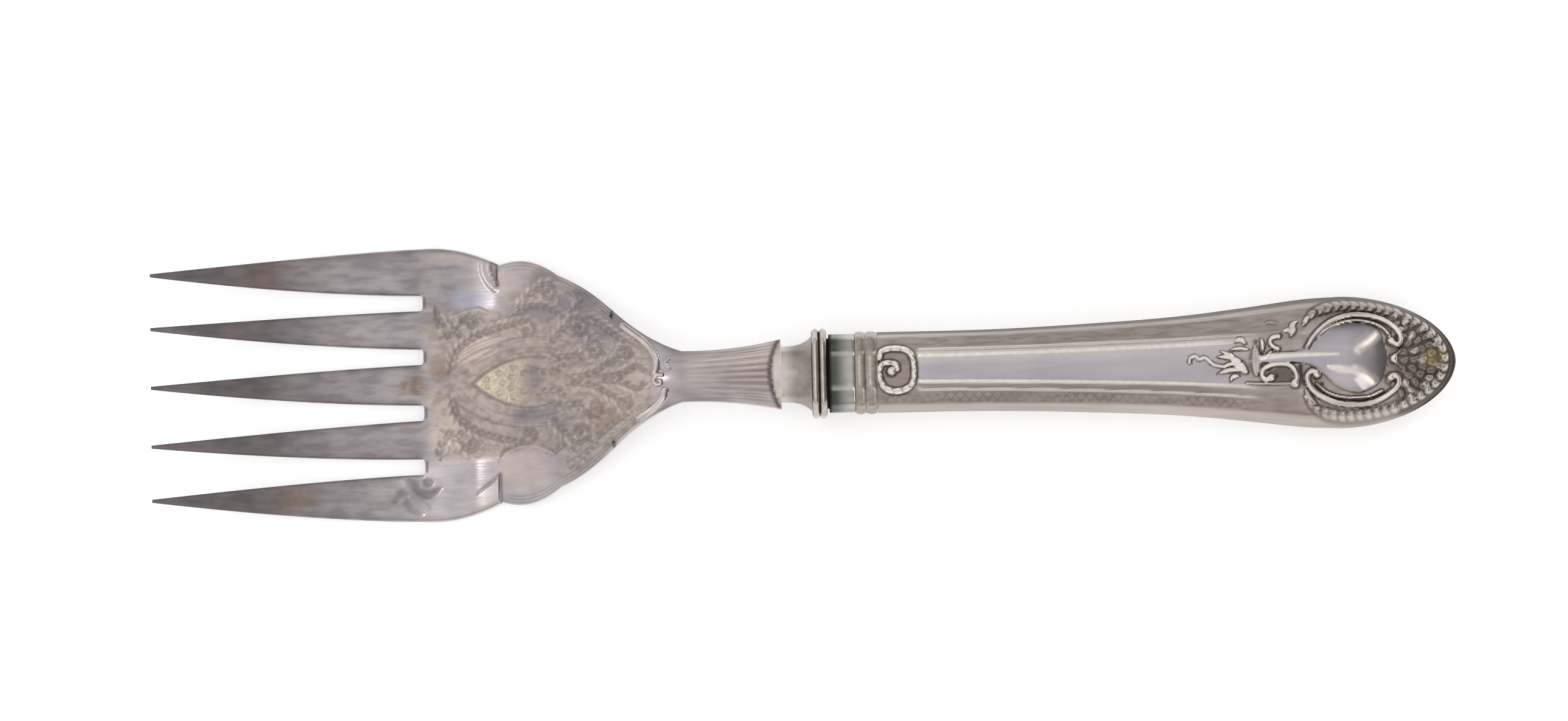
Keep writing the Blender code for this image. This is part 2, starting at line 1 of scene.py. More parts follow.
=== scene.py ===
"""Looks of the fish serving fork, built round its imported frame.

The frame is in metres: +X runs from the tine tips to the handle's end, and +Z is up. The silver is
drawn in millimetres, as on a silversmith's sheet: "s" is a distance along the fork from the tine
tips, "u" one along the handle from its mouth, and "v" one across the fork from its middle line.
"""

import logging
import math
from collections.abc import Iterator, Sequence
from contextlib import contextmanager
from dataclasses import dataclass, replace
from enum import Enum

import bmesh
import bpy
import numpy as np
from mathutils import Matrix, Vector


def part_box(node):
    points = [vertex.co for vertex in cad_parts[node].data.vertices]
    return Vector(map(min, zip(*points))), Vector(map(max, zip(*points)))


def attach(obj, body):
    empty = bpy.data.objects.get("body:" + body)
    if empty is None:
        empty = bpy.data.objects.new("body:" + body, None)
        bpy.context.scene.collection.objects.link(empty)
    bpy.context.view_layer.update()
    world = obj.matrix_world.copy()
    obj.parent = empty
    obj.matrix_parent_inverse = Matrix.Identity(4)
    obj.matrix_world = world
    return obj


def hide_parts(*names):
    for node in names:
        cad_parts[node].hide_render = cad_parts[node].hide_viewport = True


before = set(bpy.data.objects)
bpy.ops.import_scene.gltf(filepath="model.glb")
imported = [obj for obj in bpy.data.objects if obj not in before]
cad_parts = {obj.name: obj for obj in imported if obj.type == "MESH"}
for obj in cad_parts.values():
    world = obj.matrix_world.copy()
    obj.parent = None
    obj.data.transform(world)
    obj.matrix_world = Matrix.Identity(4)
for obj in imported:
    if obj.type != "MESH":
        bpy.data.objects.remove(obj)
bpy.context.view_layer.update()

Field = np.ndarray
Value = Field | float
Point = tuple[float, float]
Place = tuple[float, float, float]
Line = tuple[Point, ...]
Span = tuple[float, float, float, float]
Oval = tuple[Point, Point]
Piece = bpy.types.Object
Material = bpy.types.Material
Tree = bpy.types.NodeTree
Node = bpy.types.Node
Socket = bpy.types.NodeSocket
Colour = tuple[float, float, float, float]

LOG = logging.getLogger("fish_fork")
BODY = "root"
MM = 0.001
SMOOTH_ANGLE = math.radians(50)
MERGE_MM = 0.002

# Strokes: steps and sizes in millimetres, and shares of a stroke's half width
TRACE_STEP = 0.12
TRACE_LEAST_STEPS = 8
BEAD_NUDGE = 0.05
CURL_STEPS_A_TURN = 10
CURL_LEAST_STEPS = 4
CURL_WIND = 0.86
TAIL_WIDTH = 0.35
LEAF_LEAST_WIDTH = 0.1
FAR_REACH = 2.0
VEIN_SHARE = 0.28
MOAT_REACH = 1.75
MOAT_FADE = 0.6
OVAL_CORE = 0.4


# Curves and profiles


def unit(x: Value) -> Value:
    """Value held between 0 and 1."""
    return np.clip(x, 0.0, 1.0)


def mix(start: Value, end: Value, share: Value) -> Value:
    """Value that lies this share of the way from start to end."""
    return start + (end - start) * share


def smoothstep(t: Value) -> Value:
    """Ease from 0 to 1, level at both ends."""
    t = unit(t)
    return t * t * (3 - 2 * t)


def rise(x: Value, start: Value, end: Value) -> Value:
    """Ease from 0 at start to 1 at end, in either direction."""
    return smoothstep((x - start) / (end - start))


def within(x: Value, span: Span) -> Value:
    """Share of a stretch, which rises between its first two places and falls between its last two."""
    return rise(x, span[0], span[1]) * rise(x, span[3], span[2])


def most(*fields: Value) -> Field:
    """Largest of several values at each spot."""
    return np.maximum.reduce(np.broadcast_arrays(*fields))


def half_round(near: Value) -> Value:
    """Height of a half-round wire: near is 1 on its middle line and 0 at its edges."""
    near = unit(near)
    return np.sqrt(near * (2 - near))


def oval_reach(along: Field, across: Field, oval: Oval) -> Field:
    """How far each spot lies from an oval's centre, where 1 is its rim."""
    centre, radii = oval
    return np.hypot((along - centre[0]) / radii[0], (across - centre[1]) / radii[1])


def soft_ovals(along: Field, across: Field, *ovals: Oval) -> Field:
    """Sum of patches that are 1 about their centres and fade to 0 at the rims of ovals."""
    return sum(rise(oval_reach(along, across, oval), 1.0, OVAL_CORE) for oval in ovals)


def crown(share: Field, edge: float | Field) -> Field:
    """Height of an oval section: 1 on its middle line, edge at its edges."""
    return np.sqrt(1 - (1 - edge**2) * share**2)


def bent_ramp(x: Field, length: float, ease_in: float, ease_out: float) -> Field:
    """Ramp from 0 to 1 over a length, bent round at its foot and its head, straight between.

    Args:
        x: Distances along the ramp.
        length: Its length.
        ease_in: Length of the bend at its foot.
        ease_out: Length of the bend at its head.

    Returns:
        The share of the rise at each distance.
    """
    slope = 1 / (length - (ease_in + ease_out) / 2)
    x = np.clip(x, 0.0, length)
    foot = slope * x**2 / (2 * ease_in)
    head = 1 - slope * (length - x) ** 2 / (2 * ease_out)
    middle = slope * (x - ease_in / 2)
    return np.where(x < ease_in, foot, np.where(x > length - ease_out, head, middle))


def through_knots(knots: Sequence[Point], t: Field) -> Field:
    """Smooth curve through knots, each with the slope between its neighbours.

    Args:
        knots: Pairs of a place and the value there, in rising order of place.
        t: Places to read the curve at.

    Returns:
        The curve's value at each place.
    """
    places, values = np.array(knots, dtype=float).T
    last = len(places) - 1
    before = np.maximum(np.arange(last + 1) - 1, 0)
    after = np.minimum(np.arange(last + 1) + 1, last)
    slopes = (values[after] - values[before]) / (places[after] - places[before])
    i = np.clip(np.searchsorted(places, t, side="right") - 1, 0, last - 1)
    span = places[i + 1] - places[i]
    k = unit((t - places[i]) / span)
    leave = k * (1 - k) ** 2 * slopes[i] * span
    arrive = k * k * (1 - k) * slopes[i + 1] * span
    return mix(values[i], values[i + 1], smoothstep(k)) + leave - arrive


def trace(points: Sequence[Point]) -> tuple[Field, Field]:
    """Smooth line through a few points, walked in even steps.

    Args:
        points: Points that the line passes through, in millimetres.

    Returns:
        The stepped points, and each one's distance along the line.
    """
    knots = np.array(points, dtype=float)
    legs = np.hypot(*np.diff(knots, axis=0).T)
    places = np.concatenate(([0.0], np.cumsum(legs)))
    steps = max(int(places[-1] / TRACE_STEP), TRACE_LEAST_STEPS)
    along = np.linspace(0.0, places[-1], steps)
    line = [through_knots(list(zip(places, axis)), along) for axis in knots.T]
    return np.column_stack(line), along


class Taper(Enum):
    """How a chased stroke's width runs from its start to its end."""

    EVEN = "even"
    TAIL = "tail"
    LEAF = "leaf"

    def widths(self, share: Field) -> Field:
        """Width along a stroke.

        Args:
            share: Shares of the stroke's length.

        Returns:
            The width at each share, where 1 is the stroke's full width.
        """
        if self is Taper.TAIL:
            return mix(1.0, TAIL_WIDTH, share)
        if self is Taper.LEAF:
            swell = np.sin(math.pi * unit(0.12 + 0.85 * share)) ** 0.8
            return np.maximum(swell, LEAF_LEAST_WIDTH)
        return np.ones_like(share)


@dataclass(frozen=True)
class Stroke:
    """One chased or engraved stroke: a line of points, with a width and a height in millimetres.

    A negative height cuts it into the silver. Lobes divide it at their pitch, as in a gadroon border
    or a row of beads, and a vein is a groove along its middle.
    """

    points: Line
    width: float
    height: float
    taper: Taper = Taper.EVEN
    lobe_pitch: float = 0.0
    lobe_slant: float = 0.0
    lobe_depth: float = 0.75
    vein: float = 0.0

    def mirrored(self) -> "Stroke":
        """The same stroke on the other side of the middle line."""
        return replace(self, points=tuple((along, -across) for along, across in self.points))

    def shifted(self, step: float) -> "Stroke":
        """The same stroke, moved across the fork by a step."""
        return replace(self, points=tuple((along, across + step) for along, across in self.points))

    def reach(self, along: Field, across: Field) -> tuple[Field, Field]:
        """How far each spot lies from the stroke.

        Args:
            along: Places along the silver, in millimetres.
            across: Places across it.

        Returns:
            Distances, 0 on the stroke's middle line, 1 at its edges and at most 2, and the distance
            along the stroke of its point that is nearest.
        """
        path, walked = trace(self.points)
        half = self.width / 2 * self.taper.widths(walked / walked[-1])
        reach = np.full(along.shape, FAR_REACH)
        place = np.zeros(along.shape)
        low = path.min(axis=0) - self.width
        high = path.max(axis=0) + self.width
        around = (along > low[0]) & (along < high[0]) & (across > low[1]) & (across < high[1])
        if around.any():
            gap_along = along[around][:, None] - path[:, 0]
            gap_across = across[around][:, None] - path[:, 1]
            ratio = np.hypot(gap_along, gap_across) / half
            nearest = ratio.argmin(axis=1)
            reach[around] = np.minimum(ratio[np.arange(len(nearest)), nearest], FAR_REACH)
            place[around] = walked[nearest]
        return reach, place

    def wash(self, along: Field, across: Field, gain: float = 1.0) -> Field:
        """Tone that eases from 0 at the stroke's edges to its height on its middle line."""
        return self.height * smoothstep(gain * (1 - self.reach(along, across)[0]))

    def lift(self, along: Field, across: Field) -> Field:
        """Height that the stroke gives each spot, from 0 off the stroke to its height on its middle."""
        return self.lift_and_moat(along, across)[0]

    def lift_and_moat(self, along: Field, across: Field) -> tuple[Field, Field]:
        """Height of the stroke, and the hollow along its foot where polish never reaches.

        Args:
            along: Places along the silver, in millimetres.
            across: Places across it.

        Returns:
            The lift in millimetres, and a share that is 1 at the stroke's foot and fades away from it.
        """
        reach, place = self.reach(along, across)
        near = unit(1 - reach)
        lift = self.height * half_round(near)
        if self.lobe_pitch:
            turn = (place + self.lobe_slant * reach) / self.lobe_pitch
            lift = lift * (1 - self.lobe_depth * (1 - np.abs(np.sin(math.pi * turn))))
        if self.vein:
            lift = lift - self.vein * unit(1 - (1 - near) / VEIN_SHARE)
        return lift, unit((MOAT_REACH - reach) / MOAT_FADE)


def tallest(strokes: Sequence[Stroke], along: Field, across: Field) -> Field:
    """Height of the tallest of some raised strokes at each spot, and 0 off them all."""
    return most(*(stroke.lift(along, across) for stroke in strokes))


def bead(centre: Point, radius: float, height: float) -> Stroke:
    """Round bead, as a stroke that hardly leaves its place."""
    return Stroke((centre, (centre[0] + BEAD_NUDGE, centre[1])), 2 * radius, height)


def curl(centre: Point, radius: float, turns: float, start: float) -> Line:
    """Points of a spiral that winds in on its centre.

    Args:
        centre: Middle of the spiral.
        radius: Radius where it starts.
        turns: Turns that it makes, negative for clockwise.
        start: Angle where it starts, in degrees from +X.

    Returns:
        The spiral's points, from the outside in.
    """
    count = max(int(abs(turns) * CURL_STEPS_A_TURN), CURL_LEAST_STEPS)
    share = np.linspace(0, 1, count + 1)
    angle = math.radians(start) + turns * 2 * math.pi * share
    reach = radius * (1 - CURL_WIND * share)
    return tuple(zip(centre[0] + reach * np.cos(angle), centre[1] + reach * np.sin(angle)))


# Meshes by Blender's own operators


def select_only(piece: Piece) -> None:
    """Select one object alone and make it the active one.

    Args:
        piece: The object.
    """
    bpy.ops.object.select_all(action="DESELECT")
    piece.select_set(True)
    bpy.context.view_layer.objects.active = piece


@contextmanager
def editing(piece: Piece, mode: str = "VERT") -> Iterator[None]:
    """Edit mode on one piece, with nothing selected at first.

    Args:
        piece: The piece to edit.
        mode: Kind of element that is selected: VERT, EDGE or FACE.
    """
    select_only(piece)
    bpy.ops.object.mode_set(mode="EDIT")
    bpy.ops.mesh.select_mode(type=mode)
    bpy.ops.mesh.select_all(action="DESELECT")
    yield
    bpy.ops.object.mode_set(mode="OBJECT")


def name_and_place(name: str, points: Field) -> Piece:
    """Name the primitive that was added last, and put its vertices in their places.

    Args:
        name: Name of the piece and of its mesh.
        points: Places in metres, in the order of the vertices.

    Returns:
        The piece.
    """
    piece = bpy.context.object
    piece.name = name
    piece.data.name = name
    piece.data.vertices.foreach_set("co", np.ascontiguousarray(points, dtype=np.float32).ravel())
    piece.data.update()
    return piece


def paint(piece: Piece, name: str, values: Field) -> None:
    """Store one number from 0 to 1 per vertex, as an attribute that the piece's finish reads."""
    layer = piece.data.attributes.new(name, "FLOAT", "POINT")
    layer.data.foreach_set("value", np.ascontiguousarray(values, dtype=np.float32).ravel())


def add_sheet(name: str, points: Field, painted: dict[str, Field]) -> Piece:
    """Grid that is drawn onto a field of points, as a sheet is raised over a form.

    Args:
        name: Name of the piece.
        points: Places in metres, shaped (rows, columns, 3).
        painted: Attributes for its finish by their names, shaped (rows, columns).

    Returns:
        The sheet, whose vertex for a row and a column has the index column * rows + row.
    """
    rows, columns = points.shape[:2]
    bpy.ops.object.select_all(action="DESELECT")
    bpy.ops.mesh.primitive_grid_add(
        x_subdivisions=rows - 1, y_subdivisions=columns - 1, size=1, calc_uvs=False
    )
    sheet = name_and_place(name, points.transpose(1, 0, 2))
    for attribute, values in painted.items():
        paint(sheet, attribute, values.T)
    return sheet


def join(first: Piece, second: Piece) -> None:
    """Join a second piece into the first, whose vertices keep their indices.

    Args:
        first: The piece that stays.
        second: The piece that becomes a part of it.
    """
    select_only(first)
    second.select_set(True)
    bpy.ops.object.join()


def bridge_lines(piece: Piece, first: Sequence[int], second: Sequence[int]) -> None:
    """Wall of faces between two lines of vertices of a piece.

    Args:
        piece: The piece.
        first: Indices of one line's vertices, in order.
        second: Indices of the other line's vertices.
    """
    with editing(piece, "EDGE"):
        mesh = bmesh.from_edit_mesh(piece.data)
        mesh.verts.ensure_lookup_table()
        for line in (first, second):
            for a, b in zip(line, line[1:]):
                mesh.edges.get((mesh.verts[a], mesh.verts[b])).select_set(True)
        bmesh.update_edit_mesh(piece.data)
        bpy.ops.mesh.bridge_edge_loops()


def smooth(piece: Piece) -> None:
    """Shade a piece smooth, apart from its sharp edges."""
    select_only(piece)
    bpy.ops.object.shade_smooth_by_angle(angle=SMOOTH_ANGLE)


def close_up(piece: Piece) -> None:
    """Drop loose edges, close every opening that is left, and turn the faces outwards.

    Args:
        piece: The piece.
    """
    with editing(piece):
        bpy.ops.mesh.select_all(action="SELECT")
        bpy.ops.mesh.delete_loose(use_verts=True, use_edges=True, use_faces=False)
        bpy.ops.mesh.select_all(action="SELECT")
        bpy.ops.mesh.fill_holes(sides=0)
        bpy.ops.mesh.select_all(action="SELECT")
        bpy.ops.mesh.normals_make_consistent(inside=False)
    smooth(piece)


def settle(piece: Piece, node: str, finish: Material) -> None:
    """Dress a finished piece, put it on the body and hide the CAD node that it takes the place of.

    Args:
        piece: The finished piece.
        node: CAD node that it stands for.
        finish: Its material.
    """
    piece.data.materials.clear()
    piece.data.materials.append(finish)
    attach(piece, BODY)
    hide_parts(node)
    LOG.info("%s: %d faces, stands for %s", piece.name, len(piece.data.polygons), node)


# Finishes


def linear(colour: str) -> Colour:
    """Linear colour, with alpha, of an sRGB hex value."""
    channels = (int(colour[i : i + 2], 16) / 255 for i in (1, 3, 5))
    return (*(c / 12.92 if c <= 0.04045 else ((c + 0.055) / 1.055) ** 2.4 for c in channels), 1.0)


def per_metre(size_mm: float) -> float:
    """Scale of a texture whose features are this many millimetres across."""
    return 1 / (size_mm * MM)


def plug(tree: Tree, node: Node, inputs: dict) -> None:
    """Set a node's inputs to values, or link them to the sockets that feed them.

    Args:
        tree: Tree that the node is in.
        node: The node.
        inputs: Values or output sockets, by the name or number of the node's input.
    """
    for name, value in inputs.items():
        if isinstance(value, Socket):
            tree.links.new(value, node.inputs[name])
        else:
            node.inputs[name].default_value = value


def add_node(tree: Tree, kind: str, inputs: dict | None = None, **settings: str) -> Node:
    """Node with its settings, and with its inputs set or linked.

    Args:
        tree: Tree to add the node to.
        kind: Blender's type name of the node, without ShaderNode.
        inputs: Values or output sockets, by the name or number of the node's input.
        settings: Properties of the node by name.

    Returns:
        The node.
    """
    node = tree.nodes.new("ShaderNode" + kind)
    for name, value in settings.items():
        setattr(node, name, value)
    plug(tree, node, inputs or {})
    return node


def soft_patches(tree: Tree, place: Socket, size_mm: float, detail: float, share: float) -> Socket:
    """Patches of a soft noise.

    Args:
        tree: Tree of the finish.
        place: Socket of the coordinates.
        size_mm: Size of the noise's features.
        detail: Finer layers of noise within them.
        share: How much the patches hide of what lies under them.

    Returns:
        Output socket of the patches, 0 between them and the share inside them.
    """
    scaled = {"Vector": place, "Scale": per_metre(size_mm), "Detail": detail}
    field = add_node(tree, "TexNoise", scaled).outputs[0]
    limits = {"Value": field, "From Min": 0.36, "From Max": 0.66, "To Max": share}
    return add_node(tree, "MapRange", limits, interpolation_type="SMOOTHSTEP").outputs[0]


def blank_material(name: str) -> tuple[Material, Tree, Node, Socket]:
    """New material to make a finish in.

    Args:
        name: Its name.

    Returns:
        The material, its node tree, its Principled shader, and the socket of Object coordinates.
    """
    material = bpy.data.materials.new(name)
    material.use_nodes = True
    tree = material.node_tree
    place = add_node(tree, "TexCoord").outputs["Object"]
    return material, tree, tree.nodes["Principled BSDF"], place


@dataclass(frozen=True)
class Coat:
    """One tone of silver with flecks of a second one, laid on where an attribute says so."""

    attribute: str
    colour: str
    roughness: float
    flecks: str
    fleck_mm: float = 1.6
    fleck_share: float = 0.5
    stretch: float = 0.3
    metallic: float = 1.0
    fleck_detail: float = 4.0

    def tone(self, tree: Tree, place: Socket) -> Socket:
        """Colour of the coat, with its flecks drawn out along the fork, as a cloth ran.

        Args:
            tree: Tree of the finish.
            place: Socket of Object coordinates.

        Returns:
            Output socket of the colour.
        """
        drawn = add_node(tree, "Mapping", {"Vector": place, "Scale": (self.stretch, 1.0, 1.0)}).outputs[0]
        spots = soft_patches(tree, drawn, self.fleck_mm, self.fleck_detail, self.fleck_share)
        tones = {0: spots, 6: linear(self.colour), 7: linear(self.flecks)}
        return add_node(tree, "Mix", tones, data_type="RGBA").outputs[2]

    def levels(self) -> dict[str, float]:
        """Levels of the shader's plain sockets, by their names."""
        return {"Roughness": self.roughness, "Metallic": self.metallic}


@dataclass(frozen=True)
class AgedSilver:
    """Old polished silver: sterling that was buffed for years.

    Broad faces are a soft grey mirror with fine wear, flecked by a brown sulphide film, under a thin
    lilac bloom in patches.
    """

    name: str
    base: Coat
    coats: tuple[Coat, ...] = ()
    bloom: str = "#D6D6E2"
    bloom_share: float = 0.5
    bloom_mm: float = 9.0
    bloom_detail: float = 2.0
    scratch_mm: float = 0.4
    scratch_stretch: float = 0.06
    scratch_detail: float = 2.0
    bump_mm: float = 0.004

    def material(self) -> Material:
        """Make the finish.

        Returns:
            A metal whose coats follow the piece's attributes, with the bloom over them.
        """
        material, tree, shader, place = blank_material(self.name)
        colour = self.base.tone(tree, place)
        levels = self.base.levels()
        for coat in self.coats:
            amount = add_node(tree, "Attribute", attribute_name=coat.attribute).outputs["Fac"]
            tones = {0: amount, 6: colour, 7: coat.tone(tree, place)}
            colour = add_node(tree, "Mix", tones, data_type="RGBA").outputs[2]
            for socket, level in coat.levels().items():
                if level != levels[socket]:
                    ends = {0: amount, 2: levels[socket], 3: level}
                    levels[socket] = add_node(tree, "Mix", ends, data_type="FLOAT").outputs[0]
        clouds = soft_patches(tree, place, self.bloom_mm, self.bloom_detail, self.bloom_share)
        tones = {0: clouds, 6: colour, 7: linear(self.bloom)}
        colour = add_node(tree, "Mix", tones, data_type="RGBA", blend_type="MULTIPLY").outputs[2]
        # Real wear marks are some hundredths of a millimetre wide; drawn coarser, so that they show
        run = {"Vector": place, "Scale": (self.scratch_stretch, 1.0, 1.0)}
        scaled = {"Scale": per_metre(self.scratch_mm), "Detail": self.scratch_detail}
        scaled["Vector"] = add_node(tree, "Mapping", run).outputs[0]
        scratches = add_node(tree, "TexNoise", scaled).outputs[0]
        worn = add_node(tree, "Bump", {"Height": scratches, "Distance": self.bump_mm * MM}).outputs[0]
        plug(tree, shader, {"Base Color": colour, "Normal": worn, **levels})
        return material


@dataclass(frozen=True)
class MottledCore:
    """Finish of a hidden piece, whose one noise runs between two tones and two roughnesses."""

    name: str
    dark: str
    pale: str
    mottle_mm: float
    detail: float
    dark_roughness: float
    pale_roughness: float
    metallic: float

    def material(self) -> Material:
        """Make the finish.

        Returns:
            A material with soft mottles.
        """
        material, tree, shader, place = blank_material(self.name)
        scaled = {"Vector": place, "Scale": per_metre(self.mottle_mm), "Detail": self.detail}
        field = add_node(tree, "TexNoise", scaled).outputs[0]
        tones = {0: field, 6: linear(self.dark), 7: linear(self.pale)}
        colour = add_node(tree, "Mix", tones, data_type="RGBA").outputs[2]
        ends = {"Value": field, "To Min": self.dark_roughness, "To Max": self.pale_roughness}
        rough = add_node(tree, "MapRange", ends).outputs[0]
        plug(tree, shader, {"Base Color": colour, "Roughness": rough, "Metallic": self.metallic})
        return material


# Forged head


@dataclass(frozen=True)
class Scallop:
    """One curved stretch of the palm's outline, in millimetres."""

    length: float
    width: float
    next_width: float
    bulge: float
    rows: int

    def half_width(self, t: Field) -> Field:
        """Half width at shares of the stretch: a chord with a bulge, or with a hollow."""
        return mix(self.width, self.next_width, t) / 2 + self.bulge * 4 * t * (1 - t)


@dataclass(frozen=True)
class PalmRelief:
    """Engraved relief of the palm: cuts and raised leaves in millimetres, and shares of its parts."""

    cut: Field
    raised: Field
    eye: Field
    plain: Field


@dataclass(frozen=True)
class PalmEngraving:
    """Foliate engraving over the palm, with pointed arches nested round a gilt eye."""

    line_width: float = 0.42
    line_depth: float = 0.10
    leaf_width: float = 0.8
    leaf_height: float = 0.07
    leaf_length: float = 1.9
    leaf_gap: float = 1.35
    leaf_turns: Point = (0.95, 0.35)
    leaf_joint: float = 0.55
    stems: tuple[Line, ...] = (
        ((54.5, 2.0), (56.0, 6.4), (60.5, 9.6), (65.5, 11.0), *curl((69.0, 9.6), 2.0, -1.2, 95)),
        ((52.8, 14.0), (53.2, 11.6), (54.6, 9.8), (57.0, 9.3)),
        ((53.0, 8.4), (55.4, 10.4), *curl((58.6, 11.2), 1.9, -1.2, 190)),
        ((66.2, 12.4), (69.5, 14.4), (73.0, 13.9), (76.0, 12.0)),
        ((72.5, 6.6), (75.2, 9.6), *curl((78.6, 9.6), 2.6, -1.5, 165)),
        ((73.5, 4.6), (77.5, 4.9), *curl((81.4, 5.2), 2.3, -1.5, 190)),
        ((76.0, 0.8), (80.5, 1.4), (84.5, 3.4), *curl((87.4, 4.4), 1.8, -1.3, 195)),
        ((79.5, 12.2), (82.5, 10.6), (85.4, 8.4), (88.4, 6.4)),
        ((82.0, 0.6), (86.0, 1.0), (89.5, 2.4), (91.2, 1.2)),
        ((77.0, 12.6), (78.6, 14.6), (76.6, 16.4)),
        ((70.6, 2.4), (73.8, 2.2), (76.0, 3.2)),
    )
    lone_stems: tuple[tuple[Line, float], ...] = (
        (((66.8, 13.6), (69.6, 16.6), *curl((73.0, 16.4), 2.2, -1.4, 150)), 1.8),
        (((76.0, -15.0), (79.0, -13.6), (82.6, -10.6)), 1.6),
    )
    eye_centre: float = 69.5
    eye_half_length: float = 10.7
    eye_half_height: float = 4.7
    stipple_pitch: float = 1.1
    stipple_depth: float = 0.09
    rings: Line = ((61.6, 0.5), (63.6, 1.7), (64.2, -0.2), (65.9, 0.9), (66.2, 2.6), (68.2, 1.6))
    ring_radius: float = 0.62
    side_line: Stroke = Stroke(((66.0, 7.4), (70.0, 7.8), (74.0, 7.5)), 0.3, -0.06)
    side_steps: tuple[float, ...] = (0.0, -0.75, -1.5, -2.25)
    band_line: Stroke = Stroke(((56.0, 4.4), (58.0, 5.8), (60.5, 7.0), (63.8, 8.0)), 0.34, -0.07)
    band_steps: tuple[float, ...] = (-0.75, 0.0, 0.7)
    border_lines: Line = ((0.9, 0.4), (1.6, 0.3))
    border_depth: float = 0.08
    border_span: Span = (64.6, 66.0, 89.5, 91.5)
    lobe_line: Line = ((63.8, -13.6), (64.8, -12.4), (68.2, -11.2), (71.0, -11.6), (73.4, -12.8))
    lobe_span: Span = (63.4, 64.4, 72.5, 77.0)
    upper_lobe: Oval = ((66.4, 20.0), (4.6, 4.0))
    one_sided: tuple[Stroke, ...] = (
        Stroke(curl((48.4, 0.9), 0.9, 1.1, 200), 0.5, -0.16),
        Stroke(curl((48.4, -1.2), 0.9, -1.1, 200), 0.5, -0.16),
        Stroke(curl((46.4, -0.2), 0.7, 1.0, 20), 0.45, -0.16),
        Stroke(((60.9, 23.0), (61.0, 20.8), (61.9, 18.8), (63.2, 17.4)), 1.0, 0.08),
        Stroke(((55.0, 12.4), (57.4, 13.2), (59.8, 13.8), (61.6, 13.2)), 0.7, 0.10),
        Stroke(((52.2, 14.4), (52.6, 12.6), (53.6, 11.2), (54.6, 10.2)), 0.9, -0.18, Taper.LEAF),
        Stroke(((46.0, -18.4), (48.0, -20.6), (50.2, -22.9)), 0.8, 0.04),
    )
    sprig_leaves: tuple[Line, ...] = (
        ((46.8, -17.5), (48.0, -18.2), (48.7, -19.4)),
        ((49.8, -18.0), (51.0, -18.3)),
        ((48.0, -19.4), (49.2, -20.1), (50.6, -20.4), (52.6, -19.2)),
        ((45.0, -19.7), (46.5, -20.9)),
        ((45.3, -20.5), (43.9, -21.9)),
        ((46.3, -21.1), (47.2, -23.0), (49.2, -24.0)),
    )

    def arch(self, half_length: float, half_height: float, start: float) -> Line:
        """One side of a pointed arch about the eye's centre, from a share of its length towards the stem."""
        shares = np.linspace(start, 0.45, 8)
        return tuple((self.eye_centre + half_length * e, half_height * (1 - e * e)) for e in shares)

    def leaves(self, stem: Line, side: int, length: float) -> list[Stroke]:
        """Small leaves that grow from one side of a stem: raised on its left, cut in on its right.

        Args:
            stem: Points of the stem.
            side: 1 for its left side, -1 for its right.
            length: Length of the first leaf; they shorten along the stem.

        Returns:
            One stroke for each leaf.
        """
        path, along = trace(stem)
        height = self.leaf_height if side > 0 else -self.line_depth
        gap = self.leaf_gap
        made = []
        for place in np.arange(0.6 * gap, along[-1] - 0.4 * gap, gap):
            i = int(np.searchsorted(along, place))
            ahead = path[min(i + 2, len(path) - 1)] - path[max(i - 2, 0)]
            heading = math.atan2(ahead[1], ahead[0])
            reach = length * mix(1.0, 0.6, place / along[-1])
            points = [path[i]]
            for turn in self.leaf_turns:
                way = heading + side * turn
                step = np.array((math.cos(way), math.sin(way)))
                points.append(points[-1] + self.leaf_joint * reach * step)
            line = tuple((float(p[0]), float(p[1])) for p in points)
            made.append(Stroke(line, self.leaf_width, height, Taper.LEAF))
        return made

    def spray(self, stem: Line, length: float) -> list[Stroke]:
        """Cut stem with its leaves on both sides."""
        sides = (*self.leaves(stem, 1, length), *self.leaves(stem, -1, 0.85 * length))
        return [Stroke(stem, self.line_width, -self.line_depth), *sides]

    def half_strokes(self) -> list[Stroke]:
        """Strokes on one side of the palm; the other side mirrors them.

        Returns:
            Stems and scrolls with their leaves, the arches, the fine lines and the punched rings.
        """
        strokes = [stroke for stem in self.stems for stroke in self.spray(stem, self.leaf_length)]
        strokes += [
            Stroke(self.arch(self.eye_half_length, self.eye_half_height, -1), 0.55, -0.12, Taper.TAIL),
            Stroke(self.arch(14.4, 6.5, -0.85), 0.35, -0.06),
            Stroke(self.arch(18.2, 8.4, -0.75), 0.4, -0.1, Taper.TAIL),
            Stroke(self.arch(13.6, 7.4, -0.8), 1.5, 0.05, Taper.LEAF),
        ]
        strokes += [self.side_line.shifted(step) for step in self.side_steps]
        for ring in self.rings:
            strokes.append(Stroke(curl(ring, self.ring_radius, 1.0, 40), 0.36, -0.11))
            strokes.append(bead(ring, 0.3, self.leaf_height))
        return strokes

    def strokes(self) -> list[Stroke]:
        """All engraved strokes.

        Returns:
            Those of both sides of the palm, of one side only, of the lobes, and of the sprigs at two
            tine roots.
        """
        half = self.half_strokes()
        strokes = [*half, *(stroke.mirrored() for stroke in half), *self.one_sided]
        strokes += [stroke for stem, length in self.lone_stems for stroke in self.spray(stem, length)]
        strokes += [self.band_line.shifted(step) for step in self.band_steps]
        for leaf in self.sprig_leaves:
            strokes.append(Stroke(leaf, 1.4, -self.line_depth, Taper.LEAF))
        strokes.append(Stroke(self.lobe_line, 0.6, -self.line_depth))
        strokes.append(Stroke(self.lobe_line, 0.7, 0.10).shifted(-0.7))
        return strokes

